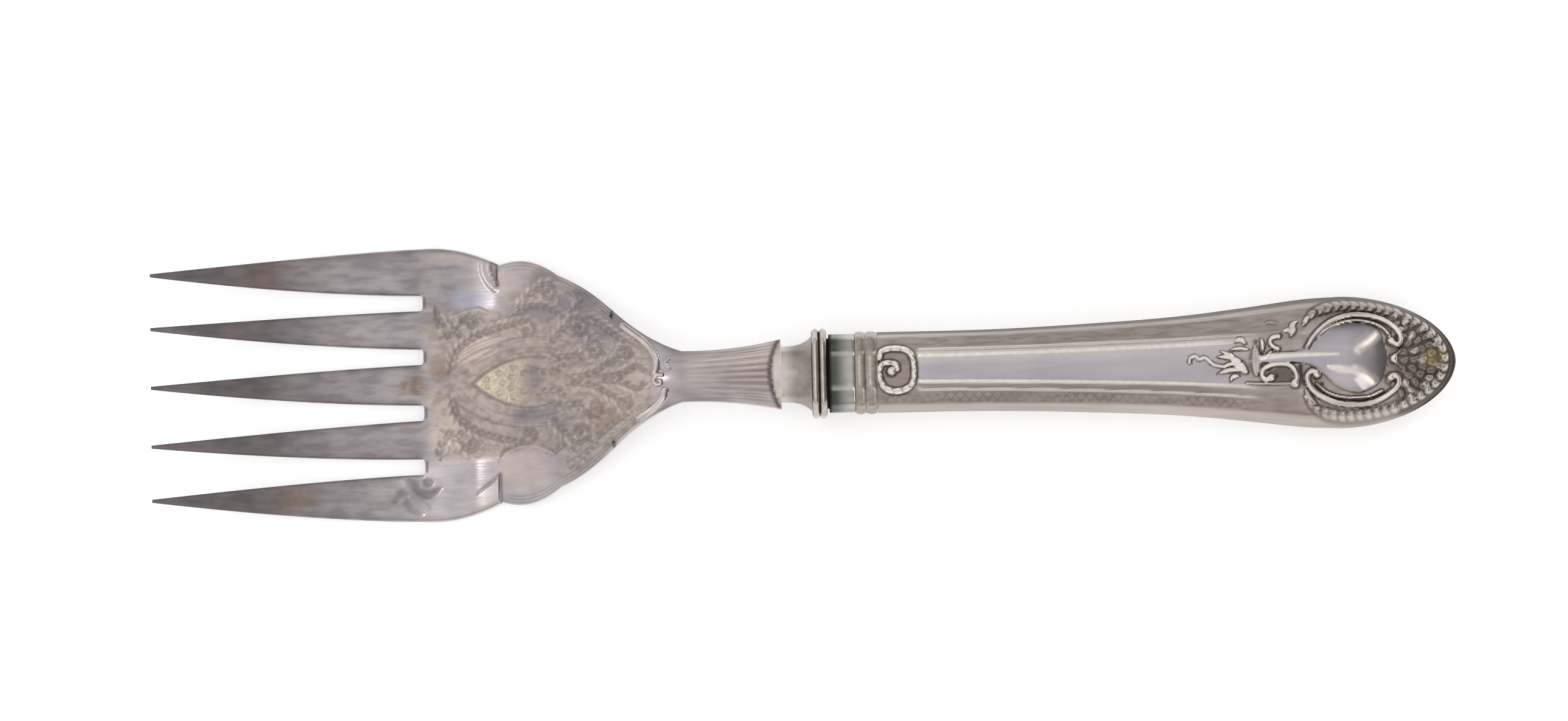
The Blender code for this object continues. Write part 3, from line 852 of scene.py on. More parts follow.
    def plain_lobes(self, s: Field, v: Field) -> Field:
        """Share of the smooth lobes behind the notches, where nothing is engraved."""
        under = rise(v - through_knots(self.lobe_line, s), -0.9, -1.7) * within(s, self.lobe_span)
        return most(under, soft_ovals(s, v, self.upper_lobe))

    def stipple(self, s: Field, v: Field) -> Field:
        """Share of small dots in rows that sway, as a hand punches them."""
        ways = (a + 0.3 * np.sin(2 * b) for a, b in ((s, v), (v, s)))
        return unit(math.prod(np.cos(2 * math.pi * way / self.stipple_pitch) for way in ways))

    def relief(self, s: Field, v: Field, edge: Field) -> PalmRelief:
        """Cut the palm.

        Args:
            s: Stations.
            v: Places across the fork.
            edge: Distances from the nearest edge.

        Returns:
            The cuts, the raised leaves, the gilt eye and the plain lobes.
        """
        cut = np.zeros(s.shape)
        raised = np.zeros(s.shape)
        for stroke in self.strokes():
            lift = stroke.lift(s, v)
            cut = np.maximum(cut, -lift)
            raised = np.maximum(raised, lift)
        plain = self.plain_lobes(s, v)
        cut = cut * (1 - plain)
        for inset, width in self.border_lines:
            line = self.border_depth * half_round(1 - np.abs(edge - inset) / (width / 2))
            cut = most(cut, line * within(s, self.border_span))
        arch = 1 - ((s - self.eye_centre) / self.eye_half_length) ** 2
        inside = arch * self.eye_half_height - np.abs(v)
        eye = rise(inside, 0.0, 0.9) * rise(s, 71.0, 65.0)
        cut = most(cut, self.stipple_depth * eye * self.stipple(s, v))
        return PalmRelief(cut, raised * (1 - plain), eye, plain)


@dataclass
class ForkHead:
    """Tines, palm and stem in one forging, engraved on the palm."""

    tine_length: float = 49.5
    head_width: float = 50.6
    centre_tine_width: float = 7.5
    middle_tine_width: float = 7.1
    slot_width: float = 2.9
    root_round: float = 0.3
    tip_width: float = 0.6
    tine_taper: float = 1.45
    root_fade: float = 4.0
    root_blend: float = 7.0
    splays: tuple[float, ...] = (0.15, -0.65, 0.0, 0.65, -0.15)
    scallops: tuple[Scallop, ...] = (
        Scallop(14.6, 50.6, 44.0, 1.1, 56),
        Scallop(10.9, 44.0, 39.2, 1.6, 44),
        Scallop(10.1, 39.2, 25.2, 0.7, 40),
        Scallop(12.6, 25.2, 9.3, -1.0, 50),
        Scallop(18.2, 9.3, 12.7, -0.55, 46),
    )
    tip_rise: float = 7.0
    curl_from_root: float = 6.0
    palm_flat: float = 9.2
    bend_length: float = 8.0
    neck_ease: float = 16.0
    tip_thickness: float = 1.0
    palm_thickness: float = 2.2
    neck_thickness: float = 4.6
    stem_end_thickness: float = 9.2
    palm_edge: float = 0.75
    stem_edge: float = 0.45
    edge_round: float = 0.9
    upper_roll: float = 0.5
    lower_roll: float = 0.3
    tine_rows: int = 90
    tine_columns: int = 34
    slot_columns: int = 12
    back_columns: int = 6
    back_slot_columns: int = 6
    engraving: PalmEngraving = PalmEngraving()
    notches: tuple[Stroke, ...] = (
        Stroke(((63.2, 22.8), (63.2, 20.4), (63.6, 18.2)), 1.9, 0.26, Taper.TAIL),
        Stroke(((63.6, 22.4), (63.5, 20.4), (63.7, 18.2)), 0.5, 0.36),
        Stroke(((63.8, -22.6), (63.7, -20.2), (63.6, -16.8)), 0.6, 0.28),
        Stroke(((63.6, -16.9), (61.8, -18.5), (59.4, -20.4)), 0.7, 0.14, Taper.TAIL),
        Stroke(((85.1, 12.8), (84.9, 11.3)), 0.8, 0.35, Taper.TAIL),
        Stroke(((85.1, -12.8), (84.9, -11.5)), 0.8, 0.35, Taper.TAIL),
    )
    lilac_ovals: tuple[Oval, ...] = (
        ((70.3, 13.0), (7.0, 2.6)), ((69.9, -6.5), (7.0, 2.0)), ((78.0, 14.6), (6.0, 3.4)),
        ((82.0, 9.8), (7.0, 4.2)), ((72.6, 18.4), (4.4, 3.0)), ((69.8, 0.6), (2.8, 3.4)),
    )
    blush_ovals: tuple[Oval, ...] = (
        ((68.0, -16.2), (7.0, 5.4)), ((65.4, 18.6), (2.6, 3.0)), ((54.5, 23.4), (6.0, 1.6)),
        ((53.6, -9.6), (4.0, 3.6)), ((112.0, 0.6), (6.0, 4.6)),
    )
    blush_band: Stroke = Stroke(((54.6, 3.4), (57.5, 5.4), (60.5, 7.0), (65.0, 8.3)), 3.4, 1.0, Taper.LEAF)
    stain_ovals: tuple[Oval, ...] = (
        ((20.5, 20.6), (4.5, 3.2)), ((26.0, -20.4), (6.0, 3.0)), ((48.0, 0.0), (3.6, 2.6)),
        ((53.0, 3.0), (3.0, 3.4)), ((83.2, -6.9), (4.0, 3.0)),
    )
    neck_rim: tuple[Stroke, ...] = (
        Stroke(((86.9, 9.6), (90.4, 6.9), (92.3, 4.6), (93.0, 2.4), (92.6, 0.6)), 1.3, 0.42),
        Stroke(((89.6, -7.6), (92.4, -5.7), (94.0, -4.0), (94.4, -2.6)), 1.3, 0.42),
        Stroke(curl((93.4, -0.9), 1.3, 1.0, 60), 0.75, 0.42),
        Stroke(((95.4, 3.4), (94.6, 2.4), (95.2, 1.4)), 0.7, 0.25),
    )
    slot_end: Stroke = Stroke(((50.15, -0.9), (50.2, 0.0), (50.15, 0.9)), 0.5, 0.6)
    flute_depth: float = 0.32
    flute_waves: float = 4.5
    flute_rise: Point = (96.5, 112.0)
    calyx_inset: float = 2.0
    calyx_hollow: float = 1.7
    calyx_lip: float = 0.30

    def __post_init__(self) -> None:
        """Work out the stations and the tine roots, and read the frame's datum."""
        low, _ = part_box("fork_head")
        self.tip_x = low[0]
        tang_low, tang_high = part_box("tang")
        self.axis_height = (tang_low[2] + tang_high[2]) / 2 / MM
        self.curl_start = self.tine_length - self.curl_from_root
        self.notch = self.tine_length + self.scallops[0].length
        self.stem_end = self.tine_length + sum(scallop.length for scallop in self.scallops)
        self.neck = self.stem_end - self.scallops[-1].length
        half = self.centre_tine_width / 2
        inner = half + self.slot_width
        outer = inner + self.middle_tine_width
        right = [(inner, outer), (outer + self.slot_width, self.head_width / 2)]
        self.roots = [(-end, -start) for start, end in reversed(right)] + [(-half, half)] + right

    def thickness(self, s: Field) -> Field:
        """Thickness on the head's middle line.

        Args:
            s: Stations.

        Returns:
            The thickness at each station.
        """
        palm = mix(self.tip_thickness, self.palm_thickness, unit(s / self.curl_start))
        necked = mix(palm, self.neck_thickness, rise(s, self.notch, self.neck))
        return mix(necked, self.stem_end_thickness, rise(s, self.neck, self.stem_end))

    def height(self, s: Field) -> Field:
        """Height of the head's middle: curled tines, flat palm, bend, straight stem.

        Args:
            s: Stations.

        Returns:
            The height over the table at each station.
        """
        start = self.tine_length + self.palm_flat
        ramp = bent_ramp(s - start, self.neck - start, self.bend_length, self.neck_ease)
        resting = np.minimum(self.thickness(s), self.palm_thickness) / 2
        curled = self.tip_rise * np.maximum(1 - s / self.curl_start, 0) ** 2
        return mix(resting, self.axis_height, ramp) + curled

    def half_width(self, s: Field) -> Field:
        """Half width of the palm and stem behind the tine roots.

        Args:
            s: Stations.

        Returns:
            The half width at each station.
        """
        width = np.full(np.shape(s), self.head_width / 2)
        start = self.tine_length
        for scallop in self.scallops:
            t = unit((s - start) / scallop.length)
            width = np.where(s >= start, scallop.half_width(t), width)
            start += scallop.length
        return width

    def stations(self) -> Field:
        """Stations of the rows, with one on every cusp of the outline.

        Returns:
            The stations in rising order.
        """
        rows = [np.linspace(0, self.tine_length, self.tine_rows, endpoint=False)]
        start = self.tine_length
        for scallop in self.scallops:
            rows.append(np.linspace(start, start + scallop.length, scallop.rows, endpoint=False))
            start += scallop.length
        return np.concatenate((*rows, [self.stem_end]))

    def columns(self, tine_shares: Field, slot_count: int) -> tuple[Field, Field, Field]:
        """Columns across the head: those of each tine, and those of the slots between.

        Args:
            tine_shares: Places across one tine, from -1 to 1.
            slot_count: Number of columns of faces across a slot.

        Returns:
            Each column's tine, its place across it, and whether each strip of faces is in a slot.
        """
        slots = len(self.roots) - 1
        gap = 1 + 2 * np.linspace(0, 1, slot_count, endpoint=False)[1:]
        share = np.concatenate((*(tine_shares, gap) * slots, tine_shares))
        tine = np.arange(len(share)) // (len(tine_shares) + len(gap))
        strips = [False] * (len(tine_shares) - 1)
        in_slot = np.array((strips + [True] * slot_count) * slots + strips)
        return tine, share, in_slot

    def spread(self, tine: Field, share: Field) -> tuple[Field, Field, Field, Field]:
        """Place every row and column of a sheet in plan.

        Args:
            tine: Number of each column's tine.
            share: Place of each column across its tine; past 1 it lies in the slot.

        Returns:
            Stations, places across, shares of the half width, and distances from the nearest edge.
        """
        left, right = np.array(self.roots).T
        middle = (left + right)[tine] / 2
        half = (right - left)[tine] / 2
        next_left = np.append(left, right[-1])[tine + 1]
        slot_share = unit((share - 1) / 2)
        in_tine = np.clip(share, -1, 1)
        s = self.stations()[:, None]
        on_tine = s < self.tine_length
        behind = np.where(on_tine, 0, unit(1 - (s - self.tine_length) / self.root_fade))
        squared = 1 - np.abs(2 * slot_share - 1) ** 5.0
        rounded = self.root_round * squared * behind
        away = unit(1 - s / self.tine_length)
        slim = mix(half, self.tip_width / 2, away**self.tine_taper)
        tine_v = middle + np.array(self.splays)[tine] * away + slim * in_tine
        root_v = middle + half * in_tine + (next_left - right[tine]) * slot_share
        palm_share = root_v / (self.head_width / 2) + 0 * s
        v = np.where(on_tine, tine_v, palm_share * self.half_width(s))
        to_tine = rise(s, self.tine_length, self.tine_length - self.root_blend)
        shares = mix(palm_share, in_tine, to_tine)
        tine_edge = slim * (1 - np.abs(in_tine))
        palm_edge = self.half_width(s) * (1 - np.abs(palm_share))
        edge = np.where(on_tine, np.minimum(tine_edge, mix(palm_edge, tine_edge, to_tine)), palm_edge)
        return s + rounded, v, shares, edge

    def calyx_edge(self, v: Field) -> Field:
        """Station of the hollow edge in which the fluted stem ends over the bolster."""
        half = self.scallops[-1].next_width / 2
        return self.stem_end - self.calyx_inset + self.calyx_hollow * (v / half) ** 2

    def slot_end_shades(self) -> list[Stroke]:
        """Strokes of painted shade across the ends of the slots."""
        middles = [(left[1] + right[0]) / 2 for left, right in zip(self.roots, self.roots[1:])]
        return [self.slot_end.shifted(middle) for middle in middles]

    def relief(self, s: Field, v: Field, edge: Field) -> tuple[Field, dict[str, Field]]:
        """Engraving, notches, rim and flutes on the upper face.

        Args:
            s: Stations.
            v: Places across the fork.
            edge: Distances from the nearest edge.

        Returns:
            Heights in millimetres to add to the plain forging, and the attributes of its finish.
        """
        palm = self.engraving.relief(s, v, edge)
        notch = tallest(self.notches, s, v)
        rim = tallest(self.neck_rim, s, v)
        from_foot = s - self.calyx_edge(v)
        on_lip = s > self.flute_rise[1]
        waves = np.abs(np.cos(self.flute_waves * math.pi * v / np.maximum(self.half_width(s), 1.0)))
        flutes = self.flute_depth * rise(s, *self.flute_rise) * (from_foot < 0) * (waves - 0.6)
        lip = self.calyx_lip * rise(from_foot, -0.2, 0.2) * on_lip
        # Zones of the finish: limits in millimetres, factors as shares of a coat
        lean = rise(-v, 13.0, 17.0) - rise(v, 8.0, 14.0)
        leafy = 51.2 + 1.1 * np.cos(math.pi * v / 3.0) + 0.6 * np.cos(math.pi * v / 1.15 + 1.0)
        field = rise(np.abs(v), 15.0, 12.6) * rise(s - leafy, -0.9, 0.9)
        lobes = rise(s, 64.0, 67.0) * mix(0.7, 1.0, rise(v, -13.0, -11.0))
        # Painted highlight on the lower corner by the bend
        corner = rise(v + 17.0 + 0.85 * (63.6 - s), 0.0, -0.8) * rise(s, 58.0, 61.0) * (s < 63.7)
        # Painted shade: along the hollow edge at the stem's foot, towards the tine tips, in the notches and
        # across the slot ends
        calyx = rise(np.abs(from_foot), 0.9, 0.1) * (s > 108.0)
        tips = rise(s, 36.0, 18.0) * mix(0.75, 1.0, rise(s, 0.0, 12.0))
        painted_shade = 2.2 * notch + 0.8 * calyx + 0.58 * tips + tallest(self.slot_end_shades(), s, v)
        # Painted highlights on the neck's rim and the raised leaves, and a pale painted highlight on the lip
        # of the stem's foot
        painted_highlight = rim / 0.3 + 0.22 * palm.raised / self.engraving.leaf_height
        lip_light = rise(from_foot, 0.2, 0.5) * on_lip
        root = soft_ovals(s, v, ((48.6, -20.4), (5.5, 4.0)))
        worked = most(field, lobes) * rise(s, 93.0, 91.5) * rise(edge, 0.2, 0.9) * (1 - palm.plain)
        painted = {
            "dull": most(rise(s + 6.0 * lean, 58.0, 48.0), 0.7 * root),
            "stem": rise(s, 94.0, 98.0),
            "worked": worked,
            "blush": unit(0.5 * soft_ovals(s, v, *self.blush_ovals) + self.blush_band.lift(s, v)),
            # Painted reflection: a pale bluish patch on the upper corner, beside the bend
            "painted_reflection": 0.8 * soft_ovals(s, v, ((58.8, 16.0), (5.0, 2.8))),
            "lilac": 0.75 * soft_ovals(s, v, *self.lilac_ovals),
            "gilt": 0.85 * palm.eye,
            "cut": 0.45 * unit(palm.cut / self.engraving.line_depth),
            "stain": 0.55 * soft_ovals(s, v, *self.stain_ovals),
            "painted_shade": unit(painted_shade),
            "bright": unit(painted_highlight + 0.6 * corner + 0.8 * lip_light),
        }
        return rim + flutes + palm.raised - palm.cut - notch - lip, painted

    def build(self) -> Piece:
        """Raise the upper and lower sheets, cut the slots, and wall the edges.

        Returns:
            The closed forging.
        """
        upper_shares = np.linspace(-1, 1, self.tine_columns + 1)
        lower_shares = np.sin(np.linspace(-math.pi / 2, math.pi / 2, self.back_columns + 1))
        head = self.sheet("head_forging", upper_shares, self.slot_columns, True)
        first = len(head.data.vertices)
        join(head, self.sheet("head_back", lower_shares, self.back_slot_columns, False))
        rows = len(self.stations())
        tine, back_tine = self.tine_columns * rows, self.back_columns * rows
        slot, back_slot = self.slot_columns * rows, self.back_slot_columns * rows
        last = len(self.roots) - 1
        starts = [(i * (tine + slot), first + i * (back_tine + back_slot)) for i in range(last + 1)]
        for index, (over, under) in enumerate(starts):
            sides = ((over, under, index == 0), (over + tine, under + back_tine, index == last))
            for top, bottom, outside in sides:
                count = rows if outside else self.tine_rows + 1
                bridge_lines(head, range(top, top + count), range(bottom, bottom + count))
        for over, under in starts[:-1]:
            top = over + tine + self.tine_rows
            bottom = under + back_tine + self.tine_rows
            bridge_lines(head, range(top, top + slot + 1, rows), range(bottom, bottom + back_slot + 1, rows))
        close_up(head)
        return head

    def sheet(self, name: str, tine_shares: Field, slot_count: int, upper: bool) -> Piece:
        """Upper or lower sheet of the head, with its slots cut out and its vertices in their order.

        Args:
            name: Name of the sheet.
            tine_shares: Places of the columns across one tine.
            slot_count: Columns of faces across one slot.
            upper: True for the upper sheet, which is engraved.

        Returns:
            The sheet.
        """
        tine, share, in_slot = self.columns(tine_shares, slot_count)
        s, v, shares, edge = self.spread(tine, share)
        stem = rise(s, self.notch, self.neck)
        half = self.thickness(s) / 2
        near_edge = unit(1 - edge / np.minimum(self.edge_round, 0.2 + half))
        roll = (1 - np.sqrt(1 - near_edge**2)) * (1 - stem)
        if upper:
            height, painted = self.relief(s, v, edge)
            top = crown(shares, mix(self.palm_edge, self.stem_edge, stem))
            z = self.height(s) + half * (top - self.upper_roll * roll) + height * (1 - near_edge)
        else:
            painted = {}
            bottom = crown(shares, mix(1.0, self.stem_edge, stem))
            z = self.height(s) - half * (bottom - self.lower_roll * roll)
        made = add_sheet(name, np.stack((self.tip_x + s * MM, v * MM, z * MM), axis=-1), painted)
        faces = np.zeros((s.shape[1] - 1, s.shape[0] - 1), dtype=bool)
        faces[:, : self.tine_rows] = in_slot[:, None]
        with editing(made, "FACE"):
            mesh = bmesh.from_edit_mesh(made.data)
            mesh.faces.ensure_lookup_table()
            for index in np.flatnonzero(faces.ravel()):
                mesh.faces[index].select_set(True)
            bmesh.update_edit_mesh(made.data)
            bpy.ops.mesh.delete(type="ONLY_FACE")
        return made

    def dress(self, piece: Piece) -> None:
        """Polished silver with a warmer worked palm, dark cuts and a gilt eye, with painted shade towards
        the tips, in the notches and at the stem's foot, and painted highlights and a painted reflection.

        Args:
            piece: The forging.
        """
        # Sterling, forged, engraved and buffed: a soft mirror, matt where it was worked
        finish = AgedSilver(
            "engraved_old_silver",
            Coat("", "#BDB5B6", 0.12, "#A49B9A"),
            (
                Coat("dull", "#A59D9D", 0.36, "#787071", 1.3),
                Coat("stem", "#C0B6B2", 0.4, "#A49995", 1.2, 0.6, 0.15),
                Coat("worked", "#B6AAA1", 0.36, "#958A81", 1.2, 0.7, 0.8),
                Coat("blush", "#CDBCB3", 0.3, "#B9A89E", 1.4, 0.6, 0.5),
                # painted reflection
                Coat("painted_reflection", "#AFAEB8", 0.2, "#9C9BA6", 3.0, 0.6, 0.5),
                Coat("lilac", "#938B8F", 0.26, "#7F777B", 1.4, 0.7, 0.25),
                Coat("gilt", "#E4D5BC", 0.34, "#C4B59B", 0.8, 0.7, 0.8),
                Coat("cut", "#7E736B", 0.45, "#6B6159"),
                Coat("stain", "#8F7668", 0.4, "#A08D82", 1.0, 0.7, 0.8),
                # painted shade
                Coat("painted_shade", "#5E5754", 0.45, "#4A4441"),
                # painted highlights
                Coat("bright", "#D6CDC6", 0.22, "#C2B7AF"),
            ),
        )
        settle(piece, "fork_head", finish.material())


# Struck handle


class Side(Enum):
    """The two struck halves of the handle."""

    FRONT = "front"
    BACK = "back"


@dataclass(frozen=True)
class HandleForm:
    """Plain form of the hollow handle before its ornament, in millimetres."""

    taper_length: float = 85.5
    end_length: float = 21.2
    mouth_width: float = 14.9
    bulge_width: float = 24.3
    mouth_thickness: float = 11.2
    bulge_thickness: float = 13.8
    wall: float = 0.6
    seat_gap: float = 0.3
    half_seam: float = 0.03
    end_power: float = 1.9
    swell: tuple[Point, ...] = (
        (0, 0), (0.26, 0.023), (0.53, 0.22), (0.66, 0.375), (0.79, 0.63), (0.92, 0.925), (1, 1)
    )
    corners: tuple[Point, ...] = ((0.0, 1.0), (0.43, 1.0), (0.84, 0.62), (1.0, 0.0))
    corner_soften: float = 0.03
    soften_steps: int = 5

    def size(self, u: Field, mouth: float, bulge: float, inset: float = 0.0) -> Field:
        """Half width or half thickness along the handle.

        Args:
            u: Distances from the mouth.
            mouth: Full size at the mouth.
            bulge: Full size at the bulge.
            inset: How far the surface lies inside the outer one.

        Returns:
            The half size at each distance.
        """
        grown = mix(mouth, bulge, through_knots(self.swell, unit(u / self.taper_length))) / 2 - inset
        along = unit((u - self.taper_length) / (self.end_length - inset))
        closing = (bulge / 2 - inset) * (1 - along**self.end_power) ** (1 / self.end_power)
        return np.where(u <= self.taper_length, grown, closing)

    def half_width(self, u: Field, inset: float = 0.0) -> Field:
        """Half width along the handle."""
        return self.size(u, self.mouth_width, self.bulge_width, inset)

    def half_thickness(self, u: Field, inset: float = 0.0) -> Field:
        """Half thickness along the handle."""
        return self.size(u, self.mouth_thickness, self.bulge_thickness, inset)

    def facets(self, share: Field) -> Field:
        """Height over the facets: flat panel, bevels, steep sides, with softened corners.

        Args:
            share: Places across, as shares of the half width.

        Returns:
            The height at each place, as a share of the half thickness.
        """
        places, heights = np.array(self.corners).T
        out = np.abs(share)
        soften = np.minimum(self.corner_soften, 1 - out)
        steps = np.linspace(-1, 1, self.soften_steps)
        return np.mean([np.interp(np.abs(out + step * soften), places, heights) for step in steps], axis=0)


@dataclass(frozen=True)
class HandleOrnament:
    """Struck ornament of both halves, in millimetres from the mouth and from the middle line."""

    volute: Line = (
        (0.6, 2.2), (1.1, 3.3), (2.2, 3.8), (3.7, 3.9), (5.3, 3.6), (6.5, 2.5), (6.9, 0.4), (6.7, -2.1),
        (5.6, -3.4), (3.7, -3.9), (2.0, -3.5), (0.9, -2.2), (0.6, -0.4), (1.0, 0.9), (2.2, 1.3), (3.6, 1.0),
        (3.9, 0.1),
    )
    upper_scroll: Line = (
        (78.7, 2.1), (79.7, 3.8), (81.2, 5.5), (83.3, 7.1), (86.1, 8.1), (88.9, 8.3), (91.9, 7.7),
        (94.0, 6.7), (95.5, 5.2), (96.1, 3.6), (95.5, 2.6), (94.4, 3.0),
    )
    lower_scroll: Line = (
        (80.4, -2.4), (79.6, -2.0), (78.7, -2.8), (79.0, -4.4), (80.2, -5.9), (82.2, -7.1), (84.4, -7.9),
        (87.0, -8.2), (89.5, -8.1), (91.7, -7.5), (93.8, -6.3), (95.3, -4.9), (95.4, -3.6), (94.6, -3.0),
        (93.7, -3.5),
    )
    small_scroll: Line = (
        (71.9, -3.1), (71.1, -3.4), (70.5, -2.7), (70.7, -1.6), (71.7, -0.9), (73.4, -0.6), (75.3, -0.8),
        (76.4, -1.8), (76.8, -3.2), (76.4, -4.2),
    )
    upper_wire: Line = (
        (81.0, 4.4), (82.7, 5.7), (84.8, 6.7), (87.8, 7.2), (90.8, 6.7), (92.8, 5.7), (94.0, 4.3),
    )
    lower_wire: Line = ((80.4, -4.4), (82.3, -5.9), (84.4, -6.7), (87.0, -7.0), (90.0, -6.8), (92.4, -5.8))
    hook: Line = ((73.7, 4.4), (72.7, 4.3), (72.1, 3.6), (72.5, 2.7), (73.5, 2.2))
    tendril: Line = (
        (57.3, 0.1), (57.5, 0.9), (58.4, 1.2), (59.0, 0.6), (60.0, 0.9), (61.7, -0.4), (63.6, -0.9),
    )
    scrolls: tuple[Stroke, ...] = (
        Stroke(volute, 1.25, 0.7, lobe_pitch=1.6, lobe_depth=0.5),
        Stroke(upper_scroll, 1.1, 0.85),
        Stroke(upper_wire, 0.7, 0.55),
        Stroke(lower_scroll, 1.1, 0.85),
        Stroke(lower_wire, 0.65, 0.5),
        Stroke(small_scroll, 1.05, 0.62),
        Stroke(hook, 0.9, 0.6),
        Stroke(tendril, 0.8, 0.5),
        Stroke(((67.6, -3.95), (71.5, -4.15), (75.6, -4.2)), 0.6, 0.3),
        Stroke(((94.6, 0.4), (95.4, 1.0), (96.3, 2.0)), 0.8, 0.6, Taper.TAIL),
        Stroke(((94.6, -0.4), (95.4, -1.0), (96.2, -2.0)), 0.8, 0.6, Taper.TAIL),
        bead((2.8, -0.3), 0.9, 0.85),
        bead((94.2, 3.3), 0.75, 0.8),
        bead((94.0, -3.4), 0.75, 0.8),
        bead((80.4, -2.7), 0.75, 0.75),
        bead((72.1, -3.0), 0.75, 0.75),
        bead((76.4, -4.1), 0.85, 0.7),
        bead((94.6, 0.0), 0.8, 0.7),
    )
    boss_upper: Line = (
        (68.0, 0.3), (72.0, 1.5), (77.0, 1.9), (79.2, 2.8), (81.2, 4.7), (83.6, 6.1), (87.2, 6.8),
        (90.2, 6.4), (92.4, 4.6), (93.4, 0.2),
    )
    boss_lower: Line = (
        (68.0, 0.2), (72.0, 0.3), (77.0, 0.5), (79.6, 1.2), (81.8, 2.9), (84.0, 4.9), (87.6, 6.1),
        (90.2, 5.5), (92.4, 3.6), (93.4, 0.2),
    )
    boss_height: Line = (
        (68.0, 0.05), (72.0, 0.4), (78.0, 0.6), (82.0, 0.82), (87.0, 1.12), (90.5, 0.95), (92.6, 0.5),
        (93.4, 0.0),
    )
    ridge_height: float = 0.1
    ridges: tuple[Stroke, ...] = (
        Stroke(((70.5, 0.8), (76.0, 1.0), (84.5, 0.9)), 2.0, 1.0, Taper.TAIL),
        Stroke(((82.5, -1.4), (85.0, -1.9), (88.0, -2.2)), 2.2, 1.0, Taper.LEAF),
        Stroke(((88.2, 1.6), (89.7, 2.8), (91.6, 4.4)), 2.8, 1.0),
        Stroke(((87.4, -2.0), (89.0, -2.7), (90.8, -4.2)), 2.8, 1.0),
    )
    scroll_gap: Stroke = Stroke(((77.5, -1.0), (77.6, -2.6), (78.2, -4.4)), 1.3, 1.0)
    pits: Line = ((71.8, -1.5), (73.0, -2.8), (74.0, 4.7), (71.9, 3.3), (69.4, 3.6), (81.3, -4.4))
    pit_radius: float = 0.65
    leaf_vein: float = 0.1
    spray: tuple[tuple[Line, float, float], ...] = (
        (((67.6, 3.3), (66.6, 4.0), (65.5, 3.5)), 1.0, 0.6),
        (((68.1, 2.2), (66.4, 2.4), (64.6, 2.1)), 0.9, 0.6),
        (((65.4, 1.2), (64.2, 1.5), (62.9, 2.1)), 0.8, 0.5),
        (((66.6, 0.1), (64.4, 0.9), (62.3, 0.9)), 1.1, 0.62),
        (((67.6, -1.9), (66.2, -0.6), (64.8, 0.5)), 1.9, 0.5),
        (((65.6, -0.4), (64.4, -0.5), (63.1, -1.1)), 0.9, 0.5),
        (((66.8, -1.6), (64.6, -1.5), (62.2, -2.2)), 1.0, 0.6),
        (((66.2, -2.6), (65.2, -2.7), (64.6, -3.7)), 0.9, 0.6),
        (((69.4, -2.3), (69.5, 0.4), (69.3, 3.0)), 2.0, 0.3),
        (((70.6, 1.7), (70.7, 3.0), (70.4, 4.3)), 0.9, 0.6),
        (((71.2, 0.2), (71.8, 1.2), (72.4, 2.0)), 0.9, 0.5),
        (((77.1, 7.2), (76.3, 6.4), (76.4, 5.4), (75.7, 4.2)), 1.1, 0.6),
        (((76.2, 4.9), (75.5, 5.5), (74.4, 5.4)), 0.9, 0.55),
        (((73.6, 7.0), (72.4, 7.2), (71.2, 7.0)), 0.7, 0.25),
        (((78.4, -5.4), (79.2, -7.0), (80.6, -8.2)), 1.2, 0.3),
    )
    end_root: float = 92.5
    scale_radii: tuple[float, ...] = (4.4, 6.15, 7.9, 9.65, 11.4)
    scale_oval: Oval = ((85.5, 0.0), (18.232, 10.406))
    scale_pitch: float = 1.8
    scale_turn: float = 1.3
    scale_height: float = 0.2
    bright_spots: Line = (
        (97.2, 6.9), (98.3, 4.2), (100.6, 5.6), (101.9, 4.4), (103.0, 2.7), (100.2, -0.3), (103.4, -1.3),
        (101.4, -3.5), (100.8, -4.7), (97.8, -5.7), (96.9, -4.4), (98.1, -7.0), (96.2, 5.4), (98.8, 1.4),
    )
    bright_height: float = 0.36
    end_leaf_half: float = 0.7
    end_leaf_hook: float = 0.9
    end_leaf_width: float = 1.3
    end_leaf_vein: float = 0.12
    end_start: float = 85.5
    rope_length: float = 18.9
    rope_half: float = 10.2
    rope_lead: Stroke = Stroke(
        ((82.6, 9.7), (80.4, 8.8), (79.2, 7.8), (78.4, 6.6)), 2.1, 0.62, Taper.TAIL, 1.6, -0.6
    )
    lower_rope_height: float = 0.42
    rope_end: float = 58.0

    def end_leaves(self) -> list[Stroke]:
        """Foliage that fills the end behind the cartouche.

        Returns:
            Low scales in arcs with brighter leaves over them, their tips turned to alternate sides.
        """
        spots = []
        for arc, radius in enumerate(self.scale_radii):
            for turn in np.arange(0.1 * arc - self.scale_turn, self.scale_turn, self.scale_pitch / radius):
                u = self.end_root + radius * math.cos(turn)
                v = 0.9 * radius * math.sin(turn)
                if oval_reach(u, v, self.scale_oval) < 1:
                    spots.append(((u, v), self.scale_height))
        spots += [(spot, self.bright_height) for spot in self.bright_spots]
        half = self.end_leaf_half
        strokes = []
        for order, ((u, v), height) in enumerate(spots):
            way = math.atan2(v, u - self.end_root)
            hook = way + (self.end_leaf_hook if order % 2 else -self.end_leaf_hook)
            foot = (u - half * math.cos(way), v - half * math.sin(way))
            tip = (u + half * math.cos(hook), v + half * math.sin(hook))
            leaf = (foot, (u, v), tip)
            strokes.append(Stroke(leaf, self.end_leaf_width, height, Taper.LEAF, vein=self.end_leaf_vein))
        return strokes

    def rope_arc(self, start: float, end: float, count: int) -> Line:
        """Points of the rope's oval between two angles in degrees."""
        turns = np.radians(np.linspace(start, end, count))
        return tuple(zip(self.end_start + self.rope_length * np.cos(turns), self.rope_half * np.sin(turns)))

